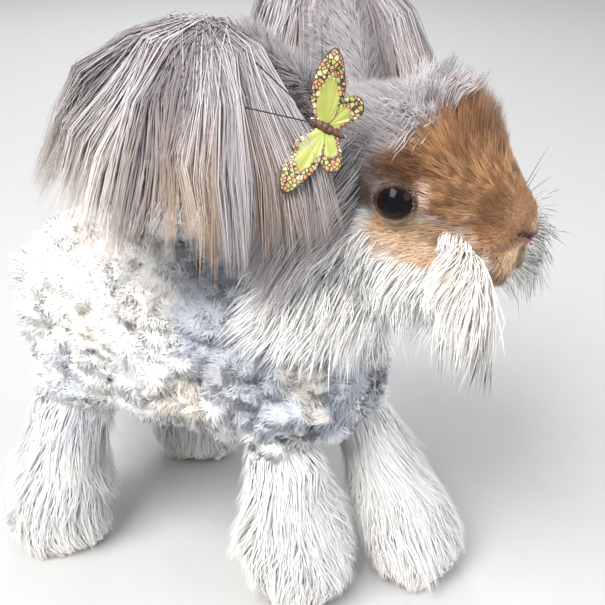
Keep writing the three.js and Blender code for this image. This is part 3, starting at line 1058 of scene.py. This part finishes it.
def ear_coat(name, seed):
    """Long silky hair that rises from an ear and falls all round it from a parting."""
    parting, middle, radii, rim, ear = EAR_DOMES[name]
    rng = np.random.default_rng(seed)
    count = int(EAR_STRANDS * DENSITY)
    rise = rng.random(count) ** 0.6
    spine = smooth_rows(np.array(ear)[:, :3], 40)
    roots = spine[(rise * (len(spine) - 1)).astype(int)] + rng.normal(size=(count, 3)) * [3, 4, 3]
    top = np.array(parting) + rng.normal(size=(count, 3)) * [2, 5, 1]
    around = rng.random(count) * 2 * math.pi
    layer = rng.random(count) ** 0.5
    circle = np.column_stack([np.cos(around), np.sin(around), np.zeros(count)])
    ragged = 1 + 0.05 * noise(circle * 30, 8, seed)
    edge = middle + circle[:, :2] * radii * ragged[:, None]
    edge = top[:, :2] + (edge - top[:, :2]) * (0.4 + 0.6 * layer)[:, None]
    bottom = rim + rng.normal(0, 6, count) + 12 * (1 - layer) + 9 * noise(circle * 30, 11, seed)
    start = 0.35 * rng.random(count) * (1 - layer)
    path = [roots]
    for step in range(EAR_STEPS):
        s = start + (1 - start) * step / (EAR_STEPS - 1)
        out = 0.5 * (np.sin(s * math.pi / 2) + s)
        fall = 0.5 * (1 - np.cos(s * math.pi / 2) + s**1.8)
        flat = top[:, :2] + (edge - top[:, :2]) * out[:, None]
        height = top[:, 2] - 6 * (1 - layer) + (bottom - top[:, 2]) * fall
        path.append(np.column_stack([flat, height]))
    paths = gather(np.stack(path, axis=1), 20, 0.7, rng, 1.0, by_tip=True)
    paths = sway(sway(paths, 24, 5.0, seed), 9, 1.5, seed + 3)
    for clip_side, lift in ANTENNAE.values():
        paths = press_under(paths, *antenna_line(clip_side, lift))
    outs = unit(paths[:, 3] - np.array([*middle, (rim + parting[2]) / 2 - 25]))
    colors = ear_strand_colors(circle, layer, paths, seed)
    thick = 0.31 + 0.4 * smoothstep(0.7, 0.3, layer)
    widths = np.outer(thick * np.exp(rng.normal(0, 0.25, count)), taper(EAR_STEPS, 1, 0.35))
    places = unwrap(roots, name)
    tuft = tuft_values(rng, count, 0.16)
    coat_piece("coat_" + name, paths, widths, outs, colors, places, tuft, SILK)


def ear_strand_colors(circle, layer, paths, seed):
    """Silver-lilac over darker taupe, pale at the tips, with beige low down near the cheek."""
    back = circle[:, 1]
    rim = circle * 60
    own = noise(rim, 1.5, seed + 9)
    colors = np.tile(linear(SILVER), (len(layer), 1))
    colors = paint(colors, smoothstep(-0.3, 0.5, noise(rim, 12, seed + 5) + 0.5 * own), LILAC, 0.9)
    streaks = smoothstep(-0.35, 0.4, noise(rim, 7, seed) + 0.5 * own)
    streaks *= smoothstep(1.0, 0.75, layer) * (0.35 + 0.65 * smoothstep(0.75, 0.1, back))
    rings = paint(colors, streaks, TAUPE, 0.9)[:, None]
    low = smoothstep(288, 246, paths[..., 2])
    rings = paint(rings, low * smoothstep(-0.4, 0.5, back + 0.4 * own)[:, None], CREAM, 0.45)
    bands = smoothstep(-0.7, 0.5, noise(rim, 12, seed + 6) + 0.7 * own)
    warm = low * (smoothstep(0.2, -0.5, back) * bands)[:, None]
    rings = paint(rings, warm, BEIGE, 0.75)
    return paint(rings, warm * smoothstep(0.3, 0.8, noise(rim, 7, seed + 7))[:, None], RUST, 0.35)


BELL_TOP = 114
# Bells of hair on the feet: rows of height, middle x, middle y, half width, half depth
BELLS = {
    "foreleg_right": [
        (BELL_TOP, -30, -49, 21, 26),
        (90, -28, -51, 19, 22),
        (50, -26, -53, 31, 33),
        (18, -23, -54, 31, 33),
    ],
    "foreleg_left": [
        (BELL_TOP, 26, -60, 21, 25),
        (90, 21, -74, 18, 20),
        (48, 24, -94, 30, 31),
        (18, 26, -104, 31, 32),
    ],
    "hindleg_right": [
        (BELL_TOP, -43, 72, 24, 33),
        (90, -51, 77, 20, 24),
        (50, -57, 85, 30, 32),
        (18, -60, 94, 31, 36),
    ],
    "hindleg_left": [
        (BELL_TOP, 36, 70, 24, 33),
        (90, 42, 70, 20, 24),
        (50, 46, 66, 30, 32),
        (18, 47, 66, 31, 36),
    ],
}


def bell_at(name, heights):
    """Middle and radii of a bell at each height. It draws in at the floor."""
    rows = smooth_rows(BELLS[name], 30)[::-1]
    x, y, wide, deep = (np.interp(heights, rows[:, 0], rows[:, k]) for k in (1, 2, 3, 4))
    draw = 0.66 + 0.34 * smoothstep(-2, 18, heights)
    return x, y, wide * draw, deep * draw


def bell_coat(name, seed):
    """Long hair that falls down one leg and hides the foot."""
    rng = np.random.default_rng(seed)
    count = int(FOOT_STRANDS * DENSITY)
    around = rng.random(count) * 2 * math.pi
    top = BELL_TOP - 106 * rng.random(count) ** 1.1
    fall = np.minimum(top - 1, rng.uniform(18, 38, count))
    reach = 0.62 + 0.44 * rng.random(count) ** 0.6
    turn = rng.normal(0, 0.16, count)
    path = []
    for step in range(FOOT_STEPS + 1):
        s = step / FOOT_STEPS
        angle = around + turn * s
        heights = top - fall * s**1.3
        x, y, wide, deep = bell_at(name, heights)
        out = 0.42 + (reach - 0.42) * math.sin(s * math.pi / 2) ** 0.7
        x = x + np.cos(angle) * wide * out
        y = y + np.sin(angle) * deep * out
        path.append(np.column_stack([x, y, heights]))
    paths = gather(np.stack(path, axis=1), 20, 0.6, rng, 1.3, by_tip=True)
    paths = sway(sway(paths, 18, 4.0, seed), 7, 1.6, seed + 3)
    paths[..., 2] = np.maximum(paths[..., 2], LOWEST_HAIR)
    outs = unit(np.column_stack([np.cos(around), np.sin(around), np.full(count, 0.35)]))
    colors = leg_colors(paths[:, -2])
    thick = 0.3 + 0.7 * smoothstep(0.86, 0.7, reach)
    widths = np.outer(thick * np.exp(rng.normal(0, 0.25, count)), taper(FOOT_STEPS, 1, 0.3))
    places = unwrap(paths[:, 0], name)
    tuft = tuft_values(rng, count)
    coat_piece("coat_" + name, paths, widths, outs, colors, places, tuft, SILK_WHITE, 0.92)


def face_weight(at):
    """Density of the face's fur, which leaves the eyes and the nose bare."""
    clear = (eye_distance(at) > 9.1) & (np.linalg.norm(at - NOSE_TIP, axis=1) > 5)
    near = np.isin(region(at), ["head", "ear_right", "ear_left"])
    return near * clear * (at[:, 2] > 214) * (1 + 0.8 * (at[:, 1] < -120))


def face_coat(points, mesh):
    """Short ticked fur of the face, lying back from the nose."""
    roots, normals, rng = skin_samples(points, mesh, face_weight, FACE_TUFTS, 12)
    flow = tangent(roots - (NOSE_TIP + [0, -6, 0]) + 3 * rng.normal(size=roots.shape), normals)
    forehead = smoothstep(256, 272, roots[:, 2]) * smoothstep(-140, -126, roots[:, 1])
    far = smoothstep(8, 34, np.linalg.norm(roots - NOSE_TIP, axis=1))
    brow = smoothstep(258, 270, roots[:, 2]) * smoothstep(-108, -117, roots[:, 1])
    lengths = 2.0 + 3.4 * far + 3.4 * forehead + 5.0 * brow
    lengths *= smoothstep(7, 15, eye_distance(roots)).clip(0.45, 1)
    lengths *= rng.uniform(0.75, 1.25, len(roots))
    lift = 0.35 + 0.6 * forehead + 0.8 * brow
    heading = normals * lift[:, None] + flow + np.outer(brow, [0, 0.3, 0.9])
    paths = grow(roots - normals * 0.3, heading, lengths, 1, 0.02, 0.12, rng)
    paths = gather(paths, 12, 0.4, rng)
    colors = head_colors(roots + normals * 3)
    tuft = tuft_values(rng, len(roots), 0.25)
    places = unwrap(roots, "head")
    widths = taper(1, 0.28, 0.1)
    coat_piece("coat_face", paths, widths, normals, colors, places, tuft, FACE, 0.55)


def long_hair_weight(at):
    """Density of the long hair of the cheeks, lips, crown and sides of the head."""
    x, y, z = np.abs(at[:, 0]), at[:, 1], at[:, 2]
    head = np.isin(region(at), ["head", "neck"]) & (y < -50)
    cheek = (z < 225 + 10 * smoothstep(-100, -88, y)) & (y > -128)
    lips = (y <= -120) & (y > -140) & (z < 242 + 0.7 * (y + 120)) & (z > 216) & (x > 12)
    crown = (z > 272) & (y > -113 + 4 * noise(at, 7, 34)) & ((x < 17) | (y > -90))
    sides = (y > -86) & (z > 232)
    return head * (1.0 * cheek + 4.5 * lips + 1.8 * crown + 1.5 * sides)


def long_head_coat(points, mesh):
    """Long white hair of cheeks, lips and chin, and the grey crown and side locks."""
    roots, normals, rng = skin_samples(points, mesh, long_hair_weight, HEAD_STRANDS, 13)
    x, y, z = roots.T
    crown = smoothstep(270, 278, z) * smoothstep(-94, -100, y) * smoothstep(19, 10, np.abs(x))
    lips = smoothstep(-122, -130, y)
    sides = np.maximum(smoothstep(-90, -82, y), smoothstep(266, 274, z))
    sides = sides * smoothstep(228, 238, z) * (1 - crown)
    cheek = np.clip(1 - crown - lips - sides, 0, 1)
    outward = np.sign(x) * (0.4 * cheek + 0.9 * lips + 0.35 * sides)
    heading = normals * (0.7 - 0.3 * sides)[:, None] + np.outer(outward, [1, 0, 0])
    heading += np.outer(cheek, [0, 0.45, -0.55]) + np.outer(lips, [0, -0.6, 0.1])
    heading += np.outer(sides, [0, 0.75, -0.8]) + np.outer(crown, [0, -0.3, 1.2])
    heading += 0.2 * rng.normal(size=roots.shape)
    lengths = 36 * cheek * smoothstep(232, 206, z).clip(0.25, 1)
    lengths += 40 * lips * smoothstep(246, 226, z).clip(0.4, 1) + 17 * crown
    lengths += sides * (14 + 42 * smoothstep(-94, -78, y))
    lengths *= rng.uniform(0.7, 1.12, len(roots)) ** (1 + lips)
    hang = 0.22 * rng.random(len(roots)) + 0.2 * smoothstep(230, 220, z)
    droop = 0.17 * cheek + hang * lips + 0.02 * crown + 0.26 * sides
    paths = grow(roots - normals, heading, lengths, HEAD_STEPS, droop, 0.07, rng)
    paths = gather(paths, 14, 0.6, rng)
    paths = sway(sway(paths, 16, 2.6, 31), 7, 1.0, 32)
    # The lips' long hair in a slightly greyed white, painted shade
    colors = paint(head_colors(roots + normals * 5), lips, SHADED_LIP_WHITE, 0.95)
    colors = paint(colors, crown + sides, SILVER, 0.9)
    dark = smoothstep(0.15, 0.6, noise(roots, 5, 33))
    colors = paint(colors, (crown + sides) * dark, SLATE, 0.45)
    tips = smoothstep(0.05, 0.5, np.linspace(0, 1, HEAD_STEPS + 1))
    colors = paint(colors[:, None], (cheek * (y > -128))[:, None] * tips, WHITE)
    places = unwrap(roots, "head")
    thick = (1 + 0.3 * lips) * np.exp(rng.normal(0, 0.25, len(roots)))
    widths = np.outer(thick, taper(HEAD_STEPS, 0.34, 0.1))
    tuft = tuft_values(rng, len(roots))
    coat_piece("coat_head", paths, widths, normals, colors, places, tuft, SILK_WHITE, 0.3)


def on_tail(at):
    return (region(at) == "tail").astype(float)


def tail_coat(points, mesh):
    """The puff of the tail."""
    roots, normals, rng = skin_samples(points, mesh, on_tail, TAIL_STRANDS, 14)
    heading = normals + np.array([0, 0.3, 0.2]) + 0.3 * rng.normal(size=roots.shape)
    paths = grow(roots, heading, rng.uniform(8, 13, len(roots)), 2, 0.03, 0.2, rng)
    paths = gather(paths, 12, 0.4, rng)
    places = unwrap(roots, "tail")
    colors = body_colors(roots)
    tuft = tuft_values(rng, len(roots))
    coat_piece("coat_tail", paths, taper(2, 0.55, 0.2), normals, colors, places, tuft, WOOL)


WHISKERS = 9
WHISKER_STEPS = 6


def make_whiskers():
    """A few long thin whiskers from each upper lip."""
    rng = np.random.default_rng(5)
    side = np.repeat([-1.0, 1.0], WHISKERS)
    spread = np.tile(np.linspace(-0.5, 0.9, WHISKERS), 2)
    roots = np.column_stack([side * 12, -139 + 5 * rng.random(len(side)), 231 + 5 * spread])
    heading = np.column_stack([side, 0.1 - 0.7 * rng.random(len(side)), 0.8 * spread])
    paths = grow(roots, heading, rng.uniform(30, 46, len(side)), WHISKER_STEPS, 0.05, 0.02, rng)
    outs = np.tile([0.0, 0.0, 1.0], (len(side), 1))
    colors = np.tile(linear(WHISKER_BROWN), (len(side), 1))
    places = unwrap(roots, "head")
    widths = taper(WHISKER_STEPS, 0.22, 0.06)
    tuft = np.full(len(side), 0.5)
    coat_piece("whiskers", paths, widths, outs, colors, places, tuft, SILK, 0)


# Eyes

# Linear colours from the middle of the pupil out to the white
EYE_STOPS = [
    (0.0, (0.004, 0.004, 0.006)),
    (0.3, (0.004, 0.004, 0.006)),
    (0.36, (0.010, 0.005, 0.003)),
    (0.56, (0.014, 0.006, 0.004)),
    (0.66, (0.006, 0.004, 0.003)),
    (0.8, (0.2, 0.14, 0.11)),
]
CORNEA_RISE = 0.5


def eye_material():
    """Dark brown iris, black pupil and a wet surface."""
    material, tree, shader = node_material("eye")
    rays = times(tree, grain(tree, position(tree), 1400.0, 2.0), 0.04)
    ring = add_node(tree, "Math", {0: attribute(tree, "ring", "Fac"), 1: rays}).outputs[0]
    color = ramp(tree, ring, EYE_STOPS)
    inputs = {"Base Color": color, "Roughness": 0.03, "IOR": 1.34, "Specular IOR Level": 0.15}
    set_inputs(tree, shader, inputs)
    return material


def make_eye(name, side, material):
    """An eyeball with a slightly raised cornea, its pole along the line of sight."""
    aim = unit(EYE_AIM * [side, 1, 1])
    ball = bmesh.new()
    bmesh.ops.create_uvsphere(ball, u_segments=48, v_segments=32, radius=1)
    mesh = bpy.data.meshes.new(name + "_ball")
    ball.to_mesh(mesh)
    ball.free()
    points = coordinates(mesh)
    angle = np.arccos(np.clip(points[:, 2], -1, 1))
    points *= (EYE_RADIUS + CORNEA_RISE * smoothstep(0.75, 0.2, angle))[:, None]
    turn = np.array(Vector((0, 0, 1)).rotation_difference(Vector(aim)).to_matrix())
    set_coordinates(mesh, to_row(points @ turn.T + EYE_AT * [side, 1, 1]))
    add_value(mesh, "ring", angle / math.pi * 1.6)
    smooth(mesh)
    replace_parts(finish_piece(mesh, material), name)


# Butterfly clip, in its own plane: x towards the butterfly's head, y across, z away from the hair

CLIP_AT = np.array([-41.5, -79.3, 279.9])
CLIP_FACING = (-0.85, -0.45, 0.3)
CLIP_ROLL = math.radians(152)
CLIP_HALF = 7.5
CLIP_RADIUS = 2.0
RIBS = 7
CLASP_HALF = 8
CLASP_HALF_WIDTH = 1.8
CLASP_HALF_DEPTH = 0.95
CLASP_DROP = 3.4
WING_SWING = math.radians(8)
WING_LIFT = math.radians(12)
WING_THICKNESS = 0.5
WING_RINGS = 14
FORE_OUTLINE = [
    (1, 1.3), (4.5, 1.3), (9, 6), (11.3, 14), (11, 22),
    (8, 28.3), (4, 26), (0.8, 20), (-1, 16), (-1.4, 8),
]
HIND_OUTLINE = [
    (0.4, 1.3), (0.7, 5), (-0.6, 11), (-3, 14), (-6, 15.2),
    (-9, 13.6), (-10, 10), (-8, 6.4), (-4, 1.4),
]


def spun(a, b, angle):
    """Two coordinates turned by an angle, from the first towards the second."""
    cos, sin = math.cos(angle), math.sin(angle)
    return a * cos - b * sin, a * sin + b * cos


def clip_axes():
    facing = unit(np.array(CLIP_FACING))
    level = unit(np.cross([0, 0, 1], facing))
    across, ahead = spun(np.cross(facing, level), level, CLIP_ROLL)
    return np.array([ahead, across, facing])


def clip_piece(name, points, faces, material, node, places=None):
    """A piece of the clip. `places` are colours that the wings' material reads."""
    mesh = bpy.data.meshes.new(name)
    mesh.from_pydata(to_row(CLIP_AT + np.asarray(points) @ clip_axes()).tolist(), [], faces)
    if places is not None:
        add_color(mesh, "place", places)
    smooth(mesh)
    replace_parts(finish_piece(mesh, material), node)


def turned(start, end, rings, sectors, section):
    """(points, faces) of a closed shape along X. `section` gives y and z for a place and an angle."""
    points = [(start, 0, 0)]
    for ring in range(rings):
        along = (ring + 0.5) / rings
        x = start + (end - start) * along
        points += [(x, *section(along, 2 * math.pi * j / sectors)) for j in range(sectors)]
    points.append((end, 0, 0))
    faces = []
    last = 1 + (rings - 1) * sectors
    for j in range(sectors):
        after = (j + 1) % sectors
        faces.append((0, 1 + j, 1 + after))
        for a in range(1, last, sectors):
            faces.append((a + j, a + sectors + j, a + sectors + after, a + after))
        faces.append((last + sectors, last + after, last + j))
    return np.array(points), faces


def body_section(along, angle):
    """Ribbed abdomen, thorax and head."""
    swell = math.sin(math.pi * along) ** 0.45 * (0.8 + 0.2 * math.cos(2 * math.pi * (along - 0.62)))
    rib = 1 + 0.09 * math.cos(2 * math.pi * RIBS * along) * (along < 0.8)
    neck = 1 - 0.3 * math.exp(-(((along - 0.84) / 0.03) ** 2))
    return spun(CLIP_RADIUS * swell * rib * neck, 0, angle)


def antenna_section(along, angle):
    """A thin stalk that ends in a small knob."""
    return spun(0.26 + 0.25 * math.exp(-(((along - 0.975) / 0.02) ** 2)), 0, angle)


def clasp_section(along, angle):
    """A flat bar with rounded edges, drawn in at both ends."""
    wide = CLASP_HALF_WIDTH * (1 - (2 * along - 1) ** 8)
    across, up = math.cos(angle), math.sin(angle)
    y = wide * math.copysign(abs(across) ** 0.5, across)
    return y, CLASP_HALF_DEPTH * math.copysign(abs(up) ** 0.5, up)


def wing_plate(outline, side):
    """(points, faces, places) of one wing: rings round its middle line, thin at the rim."""
    rim = smooth_rows(outline + outline[:1], 72)[:-1]
    root = rim[0]
    sectors = len(rim)
    points, places = [], []
    for surface in (1, -1):
        for out in np.linspace(0, 1, WING_RINGS):
            bulge = surface * (WING_THICKNESS / 2 * math.sqrt(1 - out**6) + 0.04)
            for index, edge in enumerate(rim):
                ripple = 0.25 * math.sin(index / sectors * math.pi * 10) * out
                at = root + (edge - root) * max(out, 0.02)
                points.append((*at, bulge + ripple))
                places.append((out, index / sectors, 0))
    half = WING_RINGS * sectors
    faces = []
    for index in range(sectors):
        after = (index + 1) % sectors
        for a in range(0, half - sectors, sectors):
            face = (a + index, a + sectors + index, a + sectors + after, a + after)
            faces.append(face)
            faces.append(tuple(half + i for i in face[::-1]))
        edge = half - sectors
        faces.append((edge + index, edge + index + half, edge + after + half, edge + after))
    x, y, z = np.array(points).T
    y, z = spun(y, z, side * WING_LIFT)
    x, y = spun(x, side * y, WING_SWING)
    return np.column_stack([x, y, side * z]), faces, places


def make_wings(name, side, material):
    """A fore wing and a hind wing of one side."""
    fore_points, fore_faces, fore_places = wing_plate(FORE_OUTLINE, side)
    hind_points, hind_faces, hind_places = wing_plate(HIND_OUTLINE, side)
    hind_points[:, 2] -= 0.3
    points = np.vstack([fore_points, hind_points])
    faces = fore_faces + [tuple(i + len(fore_points) for i in face) for face in hind_faces]
    places = fore_places + hind_places
    clip_piece("butterfly_wings_" + name, points, faces, material, "clip_wings_" + name, places)


ANTENNA_LENGTH = 31.0
ANTENNA_SPREAD = math.radians(15)
# Side of the butterfly's head, and lift in degrees
ANTENNAE = {"upper": (-1, 24), "lower": (1, 40)}


def antenna_place(points, side, lift):
    """Turns points along +X to the way that an antenna leaves the butterfly's head."""
    x, y, z = np.array(points, float).T
    x, z = spun(x, z, math.radians(lift))
    x, y = spun(x, y, side * ANTENNA_SPREAD)
    return np.column_stack([x + CLIP_HALF - 1, y + side * 0.9, z + 0.6])


def antenna_line(side, lift):
    """Both ends of an antenna, in millimetres."""
    ends = antenna_place([(0, 0, 0), (ANTENNA_LENGTH, 0, 0)], side, lift)
    return CLIP_AT + ends @ clip_axes()


# Linear colours of the wings' cells, of their ground and of the lines
CELL_STOPS = [
    (0.0, (0.46, 0.22, 0.11)),
    (0.42, (0.58, 0.46, 0.27)),
    (0.56, (0.34, 0.37, 0.09)),
    (0.8, (0.54, 0.32, 0.19)),
]
GROUND_STOPS = [(0.3, (0.26, 0.29, 0.06)), (0.7, (0.38, 0.40, 0.10))]
LINE_BLACK = (0.02, 0.018, 0.012, 1)
CELLS_PER_METRE = 620.0
VEINS = 16.0


def wing_material():
    """Yellow-green wings with fine veins, and orange and cream cells outlined in black near the rim."""
    material, tree, shader = node_material("butterfly_wing")
    place = add_node(tree, "SeparateColor", {0: attribute(tree, "place", "Color")})
    out, turn = place.outputs[0], place.outputs[1]
    at = position(tree)
    cell = {"Vector": at, "Scale": CELLS_PER_METRE}
    tint = ramp(tree, add_node(tree, "TexVoronoi", cell).outputs["Color"], CELL_STOPS, "CONSTANT")
    edges = add_node(tree, "TexVoronoi", cell, feature="DISTANCE_TO_EDGE").outputs["Distance"]
    wash = grain(tree, at, 120.0, 3.0)
    far = ranged(tree, out, 0.0, 1.0, 0.58, 0.66)
    outline = times(tree, ranged(tree, edges, 1.0, 0.0, 0.07, 0.15), far)
    veins = add_node(tree, "Math", {0: times(tree, turn, VEINS), 1: 0.5}, operation="PINGPONG")
    vein = ranged(tree, veins.outputs[0], 0.75, 0.0, 0.0, 0.035)
    rim = ranged(tree, out, 0.0, 1.0, 0.955, 0.985)
    dark = add_node(tree, "Math", {0: outline, 1: vein}, operation="MAXIMUM").outputs[0]
    dark = add_node(tree, "Math", {0: dark, 1: rim}, operation="MAXIMUM").outputs[0]
    pattern = blend(tree, far, ramp(tree, wash, GROUND_STOPS), tint)
    color = blend(tree, dark, pattern, LINE_BLACK)
    set_inputs(tree, shader, {"Base Color": color, "Roughness": ranged(tree, wash, 0.35, 0.6)})
    return material


def plain_material(name, low, high, scale, roughness, metallic=0.0):
    """A surface mottled between two colours."""
    material, tree, shader = node_material(name)
    mottle = grain(tree, position(tree), scale, 4.0)
    inputs = {
        "Base Color": ramp(tree, mottle, [(0.35, low), (0.65, high)]),
        "Roughness": ranged(tree, mottle, roughness - 0.1, roughness + 0.1),
        "Normal": bump(tree, mottle, 0.0001),
        "Metallic": metallic,
    }
    set_inputs(tree, shader, inputs)
    return material


# Linear colours of the clip's plain parts, dark and light
DEEP_BROWN = (0.035, 0.014, 0.008)
WARM_BROWN = (0.13, 0.05, 0.028)
BLACK = (0.008, 0.007, 0.006)
SOFT_BLACK = (0.03, 0.026, 0.022)
DULL_STEEL = (0.30, 0.30, 0.31)
BRIGHT_STEEL = (0.48, 0.48, 0.49)


def make_clip():
    brown = plain_material("butterfly_body", DEEP_BROWN, WARM_BROWN, 700.0, 0.55)
    black = plain_material("butterfly_antenna", BLACK, SOFT_BLACK, 900.0, 0.5)
    steel = plain_material("butterfly_clasp", DULL_STEEL, BRIGHT_STEEL, 500.0, 0.35, 1.0)
    wings = wing_material()
    points, faces = turned(-CLIP_HALF, CLIP_HALF, 60, 20, body_section)
    clip_piece("butterfly_body", points, faces, brown, "clip_body")
    make_wings("upper", -1, wings)
    make_wings("lower", 1, wings)
    for name, (side, lift) in ANTENNAE.items():
        points, faces = turned(0, ANTENNA_LENGTH, 24, 8, antenna_section)
        points = antenna_place(points, side, lift)
        clip_piece("butterfly_antenna_" + name, points, faces, black, "clip_antenna_" + name)
    points, faces = turned(-CLASP_HALF, CLASP_HALF, 20, 16, clasp_section)
    clip_piece("butterfly_clasp", points - [0, 0, CLASP_DROP], faces, steel, "clip_clasp")


# Stage, light and camera

FLOOR_HALF = 4.0
LIGHT_AIM = (0, 0, 0.18)
# Name, place and size in metres, power in watts, and colour
LIGHTS = [
    ("key", (-0.9, 0.1, 1.5), 0.9, 52, (1.0, 0.98, 0.95)),
    ("fill", (0.3, -1.7, 0.9), 1.2, 18, (0.95, 0.97, 1.0)),
    ("back", (1.2, 1.0, 1.1), 1.0, 12, (1.0, 1.0, 1.0)),
]
SKY = (0.91, 0.93, 0.97, 1)
SKY_STRENGTH = 0.68


def make_stage():
    """A plain pale floor."""
    mesh = bpy.data.meshes.new("floor")
    corners = [(-1, -1), (1, -1), (1, 1), (-1, 1)]
    mesh.from_pydata([(x * FLOOR_HALF, y * FLOOR_HALF, 0) for x, y in corners], [], [(0, 1, 2, 3)])
    material, tree, shader = node_material("floor")
    level = ranged(tree, grain(tree, position(tree), 60.0, 4.0), 0.42, 0.45)
    pale = add_node(tree, "CombineColor", {0: level, 1: level, 2: level})
    set_inputs(tree, shader, {"Base Color": pale.outputs[0], "Roughness": 0.8})
    mesh.materials.append(material)
    new_object("floor", mesh)


def add_light(name, at, size, energy, color):
    """A square lamp that shines on the rabbit."""
    light = bpy.data.lights.new(name, "AREA")
    light.shape = "SQUARE"
    light.size = size
    light.energy = energy
    light.color = color
    lamp = new_object(name, light)
    lamp.location = at
    lamp.rotation_mode = "QUATERNION"
    lamp.rotation_quaternion = (Vector(LIGHT_AIM) - Vector(at)).to_track_quat("-Z", "Y")


def make_light():
    for lamp in LIGHTS:
        add_light(*lamp)
    world = bpy.data.worlds.new("studio")
    world.use_nodes = True
    background = world.node_tree.nodes["Background"]
    background.inputs["Color"].default_value = SKY
    background.inputs["Strength"].default_value = SKY_STRENGTH
    bpy.context.scene.world = world
    bpy.context.scene.view_settings.view_transform = "Standard"


# The photo's camera: 382 mm above the floor, 31 degrees down, 40 degrees across
CAMERA_AT = (-306, -221, 382)
CAMERA_AHEAD = (0.7454, 0.4304, -0.5090)
FIELD = 40
SENSOR = 36


def make_camera():
    camera = bpy.data.cameras.new("camera")
    camera.sensor_width = SENSOR
    camera.lens = SENSOR / 2 / math.tan(math.radians(FIELD / 2))
    camera.clip_start = 0.01
    camera.clip_end = 20
    holder = new_object("camera", camera)
    holder.location = to_row(CAMERA_AT)
    holder.rotation_mode = "QUATERNION"
    holder.rotation_quaternion = Vector(CAMERA_AHEAD).to_track_quat("-Z", "Y")
    bpy.context.scene.camera = holder


WOOL = coat_material("wool_coat", 0.94, 0.03, 0.85, 5.0, 0.05)
SILK = coat_material("ear_silk", 0.8, 0.16, 0.5, 3.0, 0.16)
SILK_WHITE = coat_material("white_silk", 0.95, 0.05, 0.65, 3.0, 0.05)
FACE = coat_material("face_coat", 0.62, 0.34, 0.65, 2.0, 0.14)

skin_points, skin_mesh = make_skin()
wool_coat(skin_points, skin_mesh)
for index, leg in enumerate(BELLS):
    bell_coat(leg, 50 + 7 * index)
for index, ear in enumerate(EAR_DOMES):
    ear_coat(ear, 80 + 9 * index)
face_coat(skin_points, skin_mesh)
long_head_coat(skin_points, skin_mesh)
tail_coat(skin_points, skin_mesh)
make_whiskers()
EYE = eye_material()
make_eye("eye_right", -1, EYE)
make_eye("eye_left", 1, EYE)
make_clip()
make_stage()
make_light()
make_camera()
